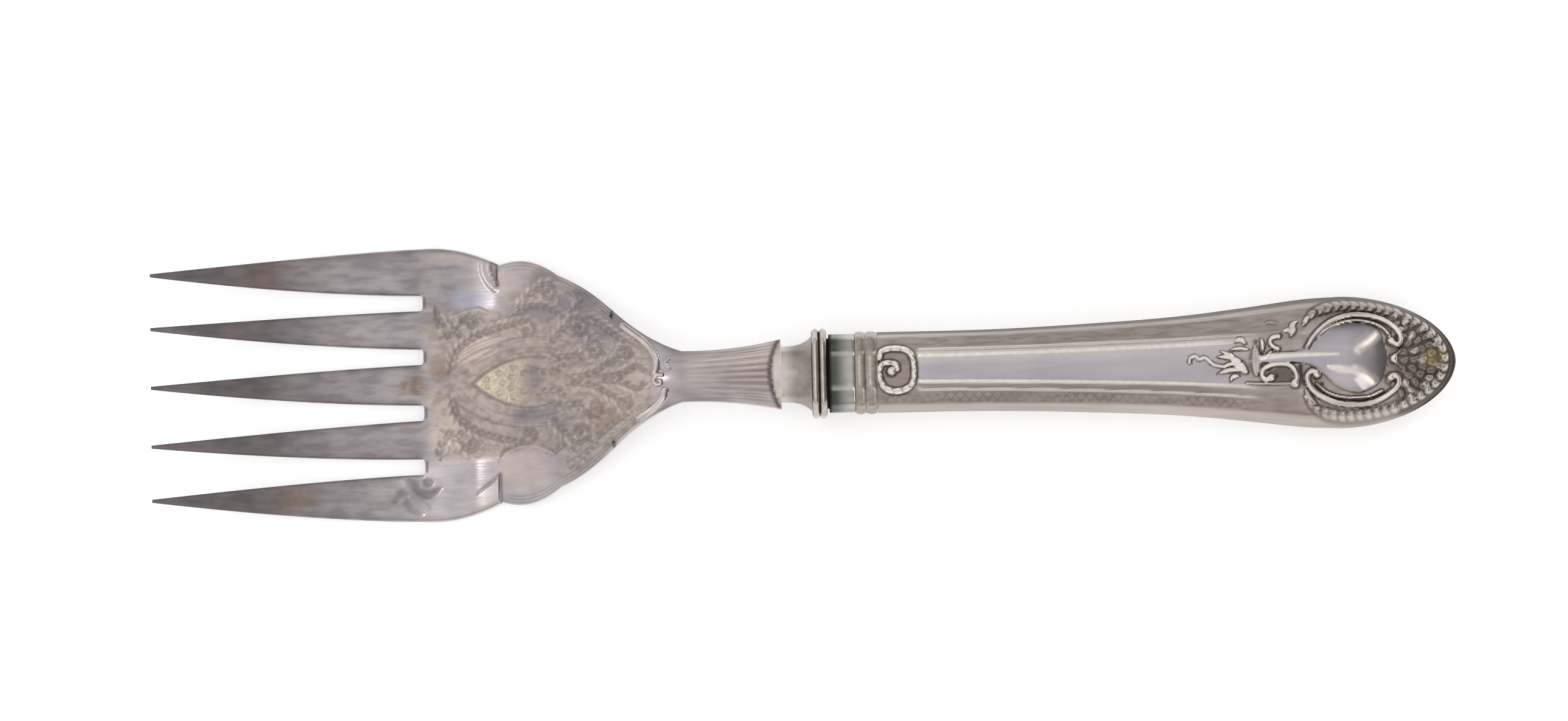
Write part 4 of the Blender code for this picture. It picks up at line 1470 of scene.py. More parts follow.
    def rope(self) -> list[Stroke]:
        """Gadroon border round the cartouche, which opens into beads round the end.

        Returns:
            A lead and a run on each side, and the beaded run that joins them.
        """
        lead = self.rope_lead
        line = (lead.points[0], *self.rope_arc(90, 90, 1), *self.rope_arc(80, self.rope_end, 4))
        run = replace(lead, points=line, taper=Taper.EVEN, lobe_slant=-lead.lobe_slant)
        lower = [
            replace(stroke.mirrored(), height=self.lower_rope_height, lobe_slant=-stroke.lobe_slant)
            for stroke in (lead, run)
        ]
        end = self.rope_arc(self.rope_end, -self.rope_end, 13)
        beads = Stroke(end, 1.6, 0.4, lobe_pitch=1.75, lobe_slant=0.5, lobe_depth=0.85)
        return [lead, run, *lower, beads]

    def struck(self, u: Field, v: Field) -> tuple[Field, Field]:
        """Relief of every stroke.

        Args:
            u: Distances from the mouth.
            v: Places across.

        Returns:
            Heights in millimetres, and shares of the moats along the strokes' feet.
        """
        height = np.zeros(u.shape)
        moat = np.zeros(u.shape)
        leaves = [Stroke(*leaf, Taper.LEAF, vein=self.leaf_vein) for leaf in self.spray]
        for stroke in (*self.scrolls, *leaves, *self.end_leaves(), *self.rope()):
            lift, foot = stroke.lift_and_moat(u, v)
            height = np.maximum(height, lift)
            moat = np.maximum(moat, foot)
        return height, moat

    def glints(self, u: Field, v: Field) -> Field:
        """Share of the soft ridges that run over the pear and catch the light."""
        return most(*(ridge.wash(u, v) for ridge in self.ridges))

    def crevices(self, u: Field, v: Field) -> Field:
        """Share of the gap between the two lower scrolls and of the pits in the curls, where shade is
        painted in.
        """
        strokes = [self.scroll_gap, *(bead(spot, self.pit_radius, 1.0) for spot in self.pits)]
        return most(*(stroke.wash(u, v, 1.3) for stroke in strokes))

    def boss(self, u: Field, v: Field) -> Field:
        """Height of the polished pear in the cartouche, with its stem towards the panel.

        Args:
            u: Distances from the mouth.
            v: Places across.

        Returns:
            Heights in millimetres, 0 off the pear.
        """
        upper = through_knots(self.boss_upper, u)
        lower = through_knots(self.boss_lower, u)
        half = np.maximum(np.where(v > 0, upper, lower), 0.05)
        tall = np.maximum(through_knots(self.boss_height, u), 0.0)
        inside = (u > self.boss_upper[0][0]) & (u < self.boss_upper[-1][0])
        dome = tall * unit(1 - (v / half) ** 2) ** 0.62
        ridges = self.ridge_height * self.glints(u, v) * unit(dome / 0.3)
        return np.where(inside & (np.abs(v) < half), dome + ridges, 0.0)


@dataclass
class HandleShell:
    """One struck half of the hollow handle, with its relief in the metal."""

    side: Side
    form: HandleForm = HandleForm()
    ornament: HandleOrnament = HandleOrnament()
    taper_rows: int = 360
    end_rows: int = 120
    top_columns: int = 98
    side_columns: int = 7
    inner_columns: int = 5
    top_share: float = 0.87
    bead_height: float = 0.22
    thin_bead_height: float = 0.20
    groove_depth: float = 0.14
    cut_depth: float = 0.11
    hatch_pitch: float = 1.7
    streak_pitch: float = 1.1
    ground_depth: float = 0.30
    dome_share: float = 0.84
    dome_drop: float = 0.40
    inner_height: float = 0.92

    def __post_init__(self) -> None:
        """Read the frame's datum and the node that this half stands for."""
        self.node = f"handle_{self.side.value}_shell"
        low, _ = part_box(self.node)
        self.mouth_x = low[0] - self.form.seat_gap * MM
        tang_low, tang_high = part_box("tang")
        self.axis_height = (tang_low[2] + tang_high[2]) / 2

    def rows(self) -> Field:
        """Rows of both faces, closer together towards the tip.

        Returns:
            Distances from the mouth in rising order, as a column.
        """
        form = self.form
        taper = np.linspace(form.seat_gap, form.taper_length, self.taper_rows, endpoint=False)
        angles = np.linspace(0, math.pi / 2, self.end_rows + 1)
        return np.concatenate((taper, form.taper_length + form.end_length * np.sin(angles)))[:, None]

    def panel_relief(self, u: Field, v: Field) -> dict[str, Field]:
        """Bead lines along the panel, drawn streaks on the upper bevel and hatching on the lower one.

        Args:
            u: Distances from the mouth.
            v: Places across.

        Returns:
            Heights in millimetres, and shares of crest, of polished flat and of groove.
        """
        half = self.form.half_width(u)
        across = np.abs(v)
        upper = v > 0
        along = u / 60
        inner = half * np.where(upper, mix(0.35, 0.375, along), mix(0.28, 0.42, along))
        outer = np.where(upper, inner + 1.0, half * mix(0.48, 0.6, along))
        span = within(u, (7.3, 8.1, 67.0, 71.0))
        thick = half_round(1 - np.abs(across - inner) / np.where(upper, 0.58, 0.42))
        thin = half_round(1 - np.abs(across - outer) / 0.28)
        between = np.maximum((outer - inner) / 2 - 0.2, 0.1)
        groove = half_round(1 - np.abs(across - (inner + outer) / 2) / between)
        out = across - outer
        ways = (u + 0.9 * out, u - 0.9 * out)
        crossing = np.minimum(*(np.abs(np.sin(math.pi * way / self.hatch_pitch)) for way in ways))
        patch = mix(0.55, 1.0, rise(np.sin(2 * math.pi * (u - 12.0) / 22.0), -0.4, 0.6))
        hatched = patch * unit(1.3 - 2.6 * crossing) * rise(u, 72.0, 66.0)
        wander = (out + 0.4 * np.sin(u / 3.1) + 0.25 * np.sin(u / 1.3)) / self.streak_pitch
        broken = rise(np.sin(u / 2.3 + 4 * np.round(wander)), -0.7, 0.3)
        streaked = broken * unit(1 - 1.7 * np.abs(np.sin(math.pi * wander))) * rise(u, 78.0, 70.0)
        bevel = rise(out, 0.2, 0.5) * rise(across - 0.82 * half, 0.0, -0.3) * rise(u, 0.5, 2.0)
        grooved = bevel * np.where(upper, streaked, hatched)
        beads = self.bead_height * thick + self.thin_bead_height * thin - self.groove_depth * groove
        return {
            "height": span * beads - self.cut_depth * grooved,
            # The crest share is painted as a highlight along the bead lines
            "crest": span * most(unit(1.5 * thick), 0.7 * thin),
            "flat": span * rise(inner - across, 0.2, 0.45),
            "grooved": most(grooved, 0.45 * span * groove * rise(u, 70.0, 60.0)),
        }

    def relief(self, u: Field, v: Field) -> tuple[Field, dict[str, Field]]:
        """Whole ornament of the half.

        Args:
            u: Distances from the mouth.
            v: Places across.

        Returns:
            Heights in millimetres to add to the plain form, and the attributes of its finish.
        """
        form, ornament = self.form, self.ornament
        share = np.abs(v) / np.maximum(form.half_width(u), 0.05)
        tip = oval_reach(u, v, ((form.taper_length, 0.0), (form.end_length, form.bulge_width / 2)))
        struck, moat = ornament.struck(u, v)
        boss = ornament.boss(u, v)
        panel = self.panel_relief(u, v)
        pear = unit(boss / 0.15)
        crest = unit((struck - 0.1) / 0.33)
        low = 1 - most(crest, pear)
        # Zones of the ornament and of its finish: limits in millimetres, factors as shares
        cartouche = rise(u, 77.0, 81.0) * rise(share, 0.92, 0.87)
        snail = rise(oval_reach(u, v, ((3.7, 0.0), (3.5, 4.0))), 1.08, 0.96)
        spray = within(u, (59.0, 70.0, 76.0, 79.0)) * rise(np.abs(v), 5.4, 4.4)
        zone = most(cartouche, snail, 0.6 * spray)
        clear = (1 - zone) * (1 - pear)
        bevel = within(share, (0.50, 0.58, 0.82, 0.86)) * rise(u, 84.0, 76.0)
        worn = rise(-v, 7.0, 8.2) * rise(u, 98.0, 94.0)
        dimmed = rise(v, 7.5, 8.9) * rise(u, 99.0, 95.0)
        end = rise(u, 93.5, 96.5) * rise(tip, 0.98, 0.94)
        pocket = rise(oval_reach(u, v, ((74.0, -2.6), (2.6, 1.7))), 1.0, 0.7)
        dark = most(0.8 * moat * (1 - 0.4 * worn), 0.85 * end, 0.7 * pocket, 0.35 * snail) * low
        # Painted shade darkens the crests of the upper rope
        dark = dark + 0.3 * dimmed * crest + 0.17 * bevel * (v < 0)
        # Painted shade along the upper flank and round the end's edge
        rim = 0.7 * rise(share, 0.88, 0.94) * most(v > 0, rise(u, 94.0, 99.0))
        rubbed = mix(1.0, 0.7, rise(u, 94.0, 99.0)) * (1 - 0.55 * worn) * (1 - 0.75 * dimmed)
        # Crests: partly rubbed bright, partly a painted highlight
        bright = crest * rubbed
        # Painted sheen on the upper part of the panel
        sheen = 0.3 * panel["flat"] * rise(v, 0.0, 2.6)
        # Painted highlights on the pear's ridges
        glint = pear * unit(1.5 * ornament.glints(u, v))
        # Painted shade on the pear's far end and along its upper edge
        turned = most(0.75 * rise(u, 89.0, 92.4), 0.65 * rise(v, 4.8, 6.6))
        # Painted shade round the end's rim of the front half
        end_rim_shade = 0.95 * rise(tip, 0.945, 0.97) * rise(u, 97.5, 101.5) * (self.side is Side.FRONT)
        painted = {
            "chased": most(bevel, zone * low),
            # Painted light: the lower flank is paler, fading out near the end
            "flank": rise(share, 0.84, 0.88) * (v < 0) * rise(u, 98.0, 92.0),
            "ground_and_shade": unit(most(dark, rim) + 0.28 * panel["grooved"]),
            "painted_black_shade": most(end_rim_shade, pear * turned, 0.9 * ornament.crevices(u, v) * low),
            "gold": 0.8 * soft_ovals(u, v, ((102.3, 0.2), (3.2, 2.6))) * (1 - 0.4 * bright),
            "polish": most(panel["flat"] * (1 - zone) * (1 - 0.8 * moat), pear),
            "crest": most(bright * (1 - pear), panel["crest"] * clear, sheen, glint),
        }
        height = most(struck, boss, panel["height"] * (1 - 0.9 * zone)) - self.ground_depth * zone * low
        return height, painted

    def outer_sheet(self) -> tuple[Field, dict[str, Field]]:
        """Places in metres of the struck outer face, and the attributes of its finish.

        Returns:
            Places shaped (rows, columns, 3), and fields shaped (rows, columns).
        """
        top = np.linspace(-self.top_share, self.top_share, self.top_columns + 1)
        flank = np.linspace(self.top_share, 1, self.side_columns + 1)[1:]
        share = np.concatenate((-flank[::-1], top, flank))[None, :]
        u, share = np.broadcast_arrays(self.rows(), share)
        v = self.form.half_width(u) * share
        facets = self.form.facets(share)
        out = np.abs(share)
        domed = 1 - self.dome_drop * (out / self.dome_share) ** 2.3
        rounded = np.where(out < self.dome_share, np.minimum(domed, facets), facets)
        plain = self.form.half_thickness(u) * mix(facets, rounded, rise(u, 74.0, 82.0))
        height, painted = self.relief(u, v)
        closing = rise(u, 106.6, 104.0) * rise(out, 0.97, 0.88)
        z = np.maximum(plain, self.form.half_seam) + height * closing
        return self.place(u, v, z), painted

    def place(self, u: Field, v: Field, z: Field) -> Field:
        """World places of points over this half's seam, with its back pad flattened.

        Args:
            u: Distances from the mouth.
            v: Places across.
            z: Heights over the seam.

        Returns:
            Places in metres, with the three coordinates last.
        """
        lift = z if self.side is Side.FRONT else -z
        height = np.maximum(self.axis_height + lift * MM, 0.0)
        return np.stack((self.mouth_x + u * MM, v * MM, height), axis=-1)

    def inner_sheet(self) -> Field:
        """Plain inner face, with the same rows as the outer one.

        Returns:
            Places in metres, shaped (rows, columns, 3).
        """
        form = self.form
        share = np.linspace(-1, 1, 2 * self.inner_columns + 1)[None, :]
        outer_u = self.rows()
        end = rise(outer_u, form.taper_length, form.taper_length + form.end_length)
        u = outer_u - form.wall * end + 0 * share
        v = form.half_width(u, form.wall) * share
        z = form.half_thickness(u, form.wall) * form.facets(share) * self.inner_height
        return self.place(u, v, np.maximum(z, form.half_seam))

    def build(self) -> Piece:
        """Raise both faces of the sheet, and close it along the seams, the mouth and the tip.

        Returns:
            The closed shell.
        """
        points, painted = self.outer_sheet()
        inside = self.inner_sheet()
        rows, columns = points.shape[:2]
        shell = add_sheet(f"struck_{self.side.value}", points, painted)
        join(shell, add_sheet("inside", inside, {}))
        for outer, inner in ((0, 0), (columns - 1, inside.shape[1] - 1)):
            over, under = outer * rows, (columns + inner) * rows
            bridge_lines(shell, range(over, over + rows), range(under, under + rows))
        close_up(shell)
        return shell

    def dress(self, piece: Piece) -> None:
        """Struck silver: polished panel and crests, matt chased bevels and a dark field behind the relief,
        with painted shade and painted highlights.

        Args:
            piece: The shell.
        """
        # Sterling, struck in a die: bright on its crests, partly rubbed and partly a painted highlight, with
        # black sulphide left in its hollows; painted shade lies on its upper flank, its end's rim, the
        # pear's far side and its crevices
        finish = AgedSilver(
            f"die_struck_silver_{self.side.value}",
            Coat("", "#B2A9A3", 0.3, "#958B84", 0.9, 0.6, 0.1),
            (
                Coat("chased", "#BAAFA7", 0.4, "#978C84", 0.9, 0.6, 0.2),
                # painted light on the lower flank
                Coat("flank", "#BCB3AB", 0.28, "#A9A097", 1.2, 0.5, 0.1),
                # dark field behind the relief, with painted shade
                Coat("ground_and_shade", "#594E42", 0.5, "#40372E", 0.8, 0.7, 0.8),
                Coat("gold", "#B09A6C", 0.42, "#8A764C", 0.9, 0.6, 0.8),
                Coat("polish", "#C5BEBF", 0.14, "#AEA8AF", 6.0, 0.8, 0.15),
                # painted shade, near black
                Coat("painted_black_shade", "#241F1B", 0.85, "#4A4037", 1.0, 0.6, 0.8, metallic=0.0),
                # crests rubbed bright, with painted highlights
                Coat("crest", "#EFE8E0", 0.26, "#DDD4CB", 0.8, 0.5, 0.8),
            ),
            bloom="#E0DCDF",
            bloom_mm=30.0,
        )
        settle(piece, self.node, finish.material())


# Bolster, collar, ferrule and bands


@dataclass(frozen=True)
class Ring:
    """One section of a piece round the fork's axis: its station and its size in millimetres."""

    s: float
    width: float
    thickness: float


@dataclass(frozen=True)
class Section:
    """Outline that a piece has in every section, for a width and a thickness of 1."""

    corners: Line
    soften: float
    soften_steps: int = 7

    def loop(self, count: int) -> Field:
        """Evenly stepped points round the outline.

        Args:
            count: Number of points.

        Returns:
            Pairs of a place across and a height.
        """
        quarter = np.array(self.corners)
        right = np.concatenate((quarter, (quarter * (1, -1))[::-1][1:]))
        whole = np.concatenate((right, (right * (-1, 1))[::-1][1:]))
        legs = np.hypot(*np.diff(whole, axis=0).T)
        places = np.concatenate(([0.0], np.cumsum(legs)))
        at = np.linspace(0, places[-1], count, endpoint=False)
        steps = np.linspace(-self.soften, self.soften, self.soften_steps)
        axes = [[np.interp((at + step) % places[-1], places, axis) for step in steps] for axis in whole.T]
        return np.mean(axes, axis=1).T


FACET_CORNER = 0.215
OVAL = Section(
    tuple((0.5 * math.sin(a), 0.5 * math.cos(a)) for a in np.linspace(0, math.pi / 2, 13)), 0.03
)
FACETED = Section(((0.0, 0.5), (FACET_CORNER, 0.5), (0.42, 0.31), (0.5, 0.0)), 0.03)
COLLARED = Section(((0.0, 0.5), (0.363, 0.5), (0.5, 0.275), (0.5, 0.0)), 0.02)


def stations_of(piece: Piece, head: ForkHead) -> tuple[Field, Field, Field]:
    """Places of a piece's vertices in millimetres.

    Args:
        piece: The piece.
        head: The head, which gives the frame's datum.

    Returns:
        The station, the place across and the height of each vertex.
    """
    places = np.empty(len(piece.data.vertices) * 3, dtype=np.float32)
    piece.data.vertices.foreach_get("co", places)
    x, y, z = places.reshape(-1, 3).T / MM
    return x - head.tip_x / MM, y, z


def turn_up(name: str, section: Section, rings: Sequence[Ring], head: ForkHead, count: int = 96) -> Piece:
    """Piece round the fork's axis, drawn out from its first ring and closed on itself.

    Args:
        name: Name of the piece.
        section: Outline of its sections.
        rings: Its rings, over the outside and back through the bore.
        head: The head, which gives the frame's datum.
        count: Points round each ring.

    Returns:
        The closed piece.
    """
    bpy.ops.object.select_all(action="DESELECT")
    bpy.ops.mesh.primitive_circle_add(vertices=count, radius=0.5, fill_type="NOTHING")
    axis = Vector((0, 0, head.axis_height * MM))
    first = rings[0]
    across, up = (section.loop(count) * (first.width, first.thickness) * MM).T
    flat = np.column_stack((np.full(count, head.tip_x + first.s * MM), across, axis.z + up))
    piece = name_and_place(name, flat)
    with editing(piece, "EDGE"):
        bpy.ops.mesh.select_all(action="SELECT")
        for before, after in zip(rings, (*rings[1:], first)):
            step = ((after.s - before.s) * MM, 0, 0)
            bpy.ops.mesh.extrude_edges_move(TRANSFORM_OT_translate={"value": step})
            grow = (1, after.width / before.width, after.thickness / before.thickness)
            bpy.ops.transform.resize(value=grow, center_override=axis)
        bpy.ops.mesh.select_all(action="SELECT")
        bpy.ops.mesh.remove_doubles(threshold=MERGE_MM * MM)
        bpy.ops.mesh.normals_make_consistent(inside=False)
    smooth(piece)
    return piece


@dataclass
class Bolster:
    """Waisted bolster behind the stem, and the collar with two rings that it swells into."""

    head: ForkHead
    length: float = 5.6
    waist: Point = (10.4, 7.8)
    flare: Point = (13.8, 10.6)
    tang_bore: Point = (5.6, 4.6)
    pocket_depth: float = 3.8
    pocket_point: Point = (0.4, 0.4)
    front_gap: float = 0.05
    back_gap: float = 0.1
    collar_length: float = 2.9
    collar_size: Point = (16.1, 12.6)
    collar_groove: float = 0.6
    steps: int = 16

    def build(self) -> list[Piece]:
        """Draw out the bolster and its collar.

        Returns:
            The bolster and the collar.
        """
        start = self.head.stem_end + self.front_gap
        end = self.head.stem_end + self.length
        rings = []
        for along in np.linspace(0, 1, self.steps + 1):
            grow = along**3.2
            size = (mix(slim, wide, grow) for slim, wide in zip(self.waist, self.flare))
            rings.append(Ring(mix(start, end, along), *size))
        rings += [
            Ring(end, *self.tang_bore),
            Ring(end - self.pocket_depth, *self.tang_bore),
            Ring(end - self.pocket_depth, *self.pocket_point),
            Ring(start, *self.pocket_point),
        ]
        waist = turn_up("bolster_waist", OVAL, rings, self.head)
        start = end + self.front_gap
        end += self.collar_length - self.back_gap
        rings = []
        # Two rings that stand either side of a groove
        for along in np.linspace(0, 1, 2 * self.steps + 1):
            drop = 2 * self.collar_groove * (1 - abs(math.sin(2 * math.pi * along)) ** 0.7)
            rings.append(Ring(mix(start, end, along), *(size - drop for size in self.collar_size)))
        rings += [Ring(end, *self.tang_bore), Ring(start, *self.tang_bore)]
        return [waist, turn_up("double_ring_collar", COLLARED, rings, self.head)]

    def dress(self, pieces: Sequence[Piece]) -> None:
        """Plain polished silver, a little brighter on the collar, with a painted highlight on the bolster's
        front and painted shade in the collar's groove.

        Args:
            pieces: The bolster and the collar.
        """
        bolster, collar = pieces
        start = self.head.stem_end
        # Painted highlight on the bolster's front, towards the stem
        paint(bolster, "painted_highlight", rise(stations_of(bolster, self.head)[0], start + 3.0, start))
        along = (stations_of(collar, self.head)[0] - start - self.length) / self.collar_length
        # Painted shade in the collar's groove
        groove = rise(np.abs(np.sin(2 * math.pi * along)), 0.6, 0.2)
        paint(collar, "hollow", 0.85 * groove)
        # Sterling, turned and buffed by hand: a soft sheen, duller in the waist, with a painted highlight
        # towards the stem and painted shade in the groove
        waist = Coat("", "#A19990", 0.3, "#888077", stretch=1.0)
        painted_highlight = Coat("painted_highlight", "#D2C9C3", 0.3, "#BEB5AF", stretch=1.0)
        rings = Coat("", "#C3BBB4", 0.22, "#A69D95", stretch=1.0)
        hollow = Coat("hollow", "#6E645C", 0.4, "#5C534B", stretch=1.0)
        plain = AgedSilver("buffed_bolster_silver", waist, (painted_highlight,))
        bright = AgedSilver("buffed_collar_silver", rings, (hollow,))
        settle(bolster, "bolster", plain.material())
        settle(collar, "bolster_collar", bright.material())


@dataclass
class Ferrule:
    """Polished tube between the collar and the handle, with two half-round bands behind it."""

    head: ForkHead
    start: float = 124.4
    length: float = 5.1
    mouth: Point = (14.9, 11.2)
    step_in: float = 0.15
    front_chamfer: float = 0.12
    back_chamfer: float = 0.1
    front_gap: float = 0.05
    sleeve_inset: float = 0.9
    bore_inset: float = 1.7
    sleeve_in_handle: float = 6.0
    tube_rings: int = 9
    band_length: float = 1.9
    band_proud: float = 0.25
    band_rounding: float = 0.27
    band_front_gap: float = 0.04
    band_back_gap: float = 0.02
    band_bore: float = 0.8
    rear_overlap: float = 0.2
    seat_gap: float = 0.3
    steps: int = 10

    def ring(self, s: float, inset: float) -> Ring:
        """Ring of the mouth's outline, drawn in by an inset."""
        return Ring(s, self.mouth[0] - 2 * inset, self.mouth[1] - 2 * inset)

    def build(self) -> list[Piece]:
        """Draw out the ferrule with its sleeve, and both bands.

        Returns:
            The ferrule, the front band and the rear band.
        """
        shoulder = self.start + self.length
        sleeve_end = shoulder + 2 * self.band_length + self.sleeve_in_handle
        front = self.start - self.front_gap
        begin = self.start + self.seat_gap
        tube = np.linspace(begin + self.front_chamfer, shoulder - self.back_chamfer, self.tube_rings)
        rings = [
            self.ring(front, self.sleeve_inset),
            self.ring(begin, self.sleeve_inset),
            self.ring(begin, self.step_in + self.front_chamfer),
            *(self.ring(s, self.step_in) for s in tube),
            self.ring(shoulder, self.step_in + self.back_chamfer),
            self.ring(shoulder, self.sleeve_inset),
            self.ring(sleeve_end, self.sleeve_inset),
            self.ring(sleeve_end, self.bore_inset),
            self.ring(front, self.bore_inset),
        ]
        middle = shoulder + self.band_length
        return [
            turn_up("ferrule_tube", FACETED, rings, self.head),
            self.build_band("front_band", shoulder, middle),
            self.build_band("rear_band", middle, middle + self.band_length + self.rear_overlap),
        ]

    def build_band(self, name: str, start: float, end: float) -> Piece:
        """Half-round band over the sleeve.

        Args:
            name: Name of the piece.
            start: Station where it starts.
            end: Station where it ends.

        Returns:
            The band.
        """
        start += self.band_front_gap
        end -= self.band_back_gap
        rings = []
        for along in np.linspace(0, 1, self.steps + 1):
            round_off = 1 - math.sin(math.pi * along) ** 0.8
            stand = self.band_proud - self.band_rounding * round_off
            rings.append(self.ring(mix(start, end, along), -stand))
        rings += [self.ring(end, self.band_bore), self.ring(start, self.band_bore)]
        return turn_up(name, FACETED, rings, self.head)

    def dress(self, pieces: Sequence[Piece]) -> None:
        """Mirror with a painted dark reflection towards the collar and painted highlights on its upper edges
        on the ferrule, worn silver on the bands.

        Args:
            pieces: The ferrule and its two bands.
        """
        tube, front, rear = pieces
        s, y, z = stations_of(tube, self.head)
        from_corner = np.abs(np.abs(y) - FACET_CORNER * self.mouth[0])
        edge = unit(1 - from_corner / 0.35) * (z > self.head.axis_height)
        # Painted reflection dark towards the collar, painted highlight on the upper edges, painted shadow at
        # the front end
        paint(tube, "dark", rise((s - self.start) / self.length, 0.85, 0.2))
        paint(tube, "edge", 0.9 * edge)
        paint(tube, "painted_black_shade", rise(s - self.start, 0.75, 0.5))
        # Sterling tube, polished: a mirror, with a painted dark reflection where it faces the collar,
        # painted highlights on its upper edges and a painted shadow at its front end
        coats = (
            Coat("dark", "#4A4D47", 0.2, "#62655F"),
            Coat("edge", "#D9D5CD", 0.2, "#BFBAB2"),
            Coat("painted_black_shade", "#100E0C", 0.85, "#1C1916", metallic=0.0),
        )
        mirror = AgedSilver("mirror_silver_with_painted_shade", Coat("", "#B6B2AB", 0.18, "#98958E"), coats)
        # Half-round sterling wire, rubbed by hands: a grey sheen
        worn = AgedSilver("worn_band_silver", Coat("", "#AEA49B", 0.28, "#8B8178", 0.9, 0.6, 0.8))
        settle(tube, "ferrule", mirror.material())
        settle(front, "ferrule_band_front", worn.material())
        settle(rear, "ferrule_band_rear", worn.material())


# Hidden pieces, which keep their CAD shapes


@dataclass(frozen=True)
class HiddenCore:
    """Steel tang and pitch filling inside the handle."""

    # Forged steel: dark scale from the fire, with a dull sheen where it was filed
    steel: MottledCore = MottledCore("forged_tang_steel", "#4A4643", "#7A7672", 1.4, 4.0, 0.62, 0.38, 1.0)
    # Chaser's pitch: a brown-black resin with ash in it, glossy where it set against metal
    pitch: MottledCore = MottledCore("chasers_pitch", "#241A14", "#4B3A2E", 3.0, 5.0, 0.35, 0.75, 0.0)

    def dress(self) -> None:
        """Give both CAD nodes their own materials."""
        for node, finish in (("tang", self.steel), ("pitch_core", self.pitch)):
            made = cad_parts[node]
            made.data.materials.clear()
            made.data.materials.append(finish.material())
            LOG.info("%s: keeps its CAD shape, dressed in %s", node, finish.name)


# Stage


@dataclass(frozen=True)
class Lamp:
    """One soft box: where it stands, its size, and its light, in metres and watts."""

    name: str
    place: Place
    aim: Place
    size: Point
    watts: float
    colour: str


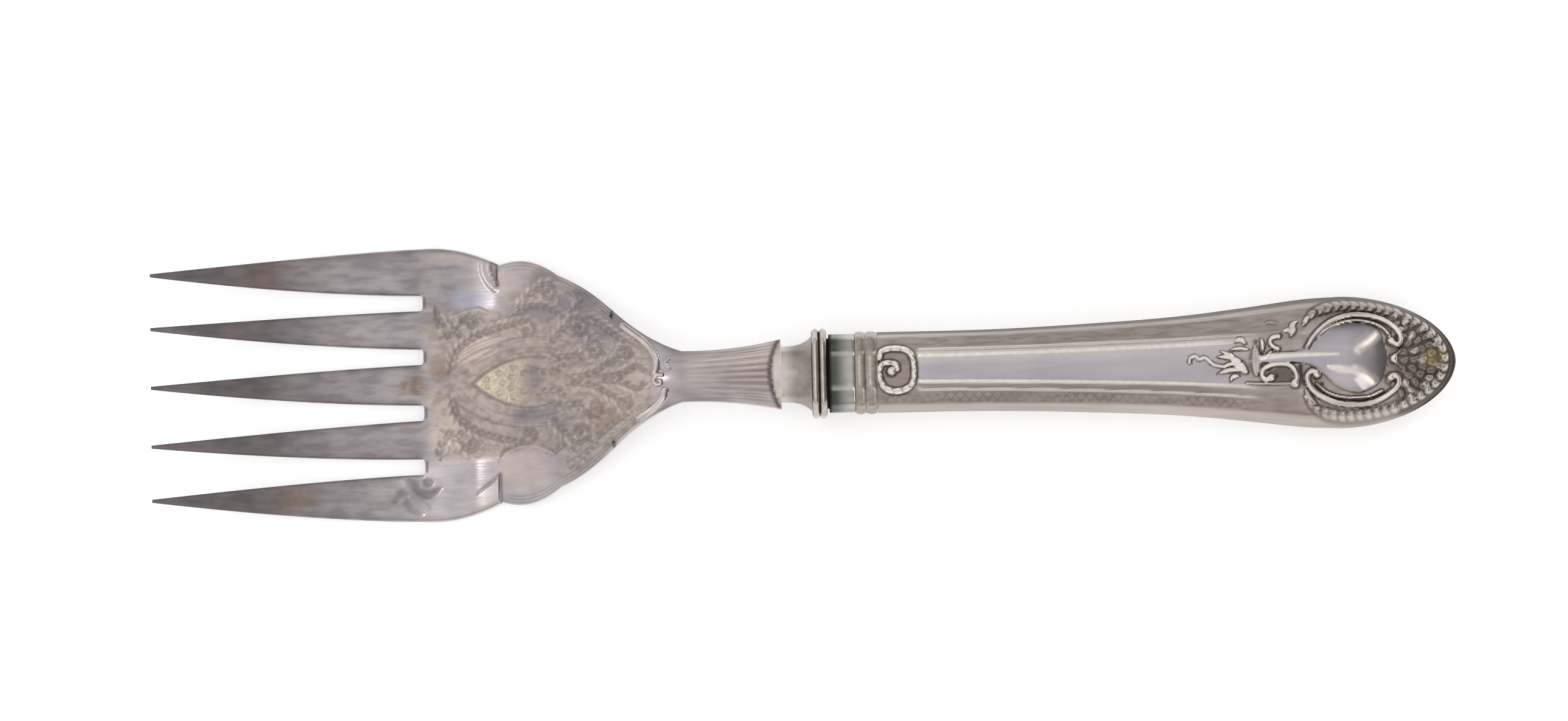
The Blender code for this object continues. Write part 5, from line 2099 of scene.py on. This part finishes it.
@dataclass(frozen=True)
class Stage:
    """White table, soft boxes, and a camera that looks almost straight down on the fork."""

    view_width: float = 0.2885
    target: Place = (-0.0035, 0.0026, 0.0075)
    lens: float = 120.0
    sensor: float = 36.0
    clip_end: float = 20.0
    tilt: float = math.radians(5.0)
    roll: float = math.radians(1.25)
    floor_size: float = 6.0
    floor_tones: tuple[str, str] = ("#F7F7F6", "#FAFAFA")
    floor_grain_mm: float = 2.0
    floor_roughness: float = 0.9
    floor_glow: float = 0.42
    white: str = "#FFFFFF"
    corner: str = "#2E2B29"
    room_falls: tuple[tuple[str, float, float, float], ...] = (
        ("X", 0.75, 0.0, 0.28),
        ("Y", 1.0, -0.2, 0.95),
        ("Z", -0.1, 0.9, 0.58),
    )
    lamps: tuple[Lamp, ...] = (
        Lamp("bend_strip", (-0.27, 0.09, 1.05), (-0.06, 0.0, 0.0), (0.03, 0.22), 0.2, "#FFFDFA"),
        Lamp("far_box", (0.75, 0.75, 0.75), (0.09, 0.0, 0.0), (0.45, 1.0), 1.5, "#FFFFFF"),
        Lamp("near_box", (0.6, -0.85, 0.7), (0.09, 0.0, 0.0), (0.45, 1.0), 1.5, "#FFFDFA"),
    )

    def build(self) -> None:
        """Set up the table, the light, the camera and the view."""
        self.add_floor()
        for lamp in self.lamps:
            self.add_lamp(lamp)
        self.light_room()
        self.add_camera()
        bpy.context.scene.view_settings.view_transform = "Standard"

    def add_floor(self) -> None:
        """Plain pale table, with a little grain in its paint, white to the camera and to the silver."""
        bpy.ops.object.select_all(action="DESELECT")
        bpy.ops.mesh.primitive_plane_add(size=self.floor_size)
        floor = bpy.context.object
        floor.name = "table"
        # Sprayed matt paint on a board: an even white, its grain drawn coarser so that it shows
        material, tree, shader, place = blank_material("white_table_paint")
        scaled = {"Vector": place, "Scale": per_metre(self.floor_grain_mm), "Detail": 2.0}
        grain = add_node(tree, "TexNoise", scaled).outputs[0]
        dim, pale = self.floor_tones
        tones = {0: grain, 6: linear(dim), 7: linear(pale)}
        colour = add_node(tree, "Mix", tones, data_type="RGBA").outputs[2]
        path = add_node(tree, "LightPath").outputs
        shown = path["Is Camera Ray"]
        for ray in ("Is Glossy Ray", "Is Transmission Ray"):
            shown = add_node(tree, "Math", {0: shown, 1: path[ray]}, operation="MAXIMUM").outputs[0]
        glow = add_node(tree, "Math", {0: shown, 1: self.floor_glow}, operation="MULTIPLY").outputs[0]
        plug(tree, shader, {"Base Color": colour, "Emission Color": colour, "Emission Strength": glow})
        plug(tree, shader, {"Roughness": self.floor_roughness})
        floor.data.materials.append(material)

    def add_lamp(self, lamp: Lamp) -> None:
        """One soft box that faces its aim.

        Args:
            lamp: The soft box.
        """
        light = bpy.data.lights.new(lamp.name, "AREA")
        light.shape = "RECTANGLE"
        light.size, light.size_y = lamp.size
        light.energy = lamp.watts
        light.color = linear(lamp.colour)[:3]
        stand = bpy.data.objects.new(lamp.name, light)
        facing = Vector(lamp.aim) - Vector(lamp.place)
        stand.rotation_euler = facing.to_track_quat("-Z", "Y").to_euler()
        stand.location = lamp.place
        bpy.context.collection.objects.link(stand)

    def light_room(self) -> None:
        """Pale room that is white overhead and greyer towards the horizon, and white to the camera."""
        world = bpy.data.worlds.new("studio_room")
        world.use_nodes = True
        bpy.context.scene.world = world
        tree = world.node_tree
        tree.nodes.clear()
        way = add_node(tree, "TexCoord").outputs["Generated"]
        axes = add_node(tree, "SeparateXYZ", {"Vector": way}).outputs
        level = 1.0
        for axis, start, end, least in self.room_falls:
            limits = {"Value": axes[axis], "From Min": start, "From Max": end, "To Min": least}
            fall = add_node(tree, "MapRange", limits).outputs[0]
            level = add_node(tree, "Math", {0: level, 1: fall}, operation="MULTIPLY").outputs[0]
        tones = {0: level, 6: linear(self.corner), 7: linear(self.white)}
        room = add_node(tree, "Mix", tones, data_type="RGBA").outputs[2]
        to_camera = add_node(tree, "LightPath").outputs["Is Camera Ray"]
        seen = {0: to_camera, 6: room, 7: linear(self.white)}
        shown = add_node(tree, "Mix", seen, data_type="RGBA").outputs[2]
        background = add_node(tree, "Background", {"Color": shown})
        add_node(tree, "OutputWorld", {"Surface": background.outputs[0]})

    def add_camera(self) -> None:
        """Long lens over the fork, tilted a little towards its lower edge and rolled a little."""
        data = bpy.data.cameras.new("camera")
        data.lens = self.lens
        data.sensor_width = self.sensor
        data.clip_end = self.clip_end
        camera = bpy.data.objects.new("camera", data)
        turn = Matrix.Rotation(self.tilt, 4, "X") @ Matrix.Rotation(-self.roll, 4, "Z")
        distance = self.view_width * self.lens / self.sensor
        place = Vector(self.target) + turn @ Vector((0, 0, distance))
        camera.matrix_world = Matrix.Translation(place) @ turn
        bpy.context.collection.objects.link(camera)
        bpy.context.scene.camera = camera


def main() -> None:
    """Build every sub-assembly in order, dress it and light the stage."""
    logging.basicConfig(level=logging.INFO, format="%(name)s: %(message)s")
    head = ForkHead()
    for part in (head, Bolster(head), Ferrule(head), *(HandleShell(side) for side in Side)):
        part.dress(part.build())
    HiddenCore().dress()
    Stage().build()


if __name__ == "__main__":
    main()
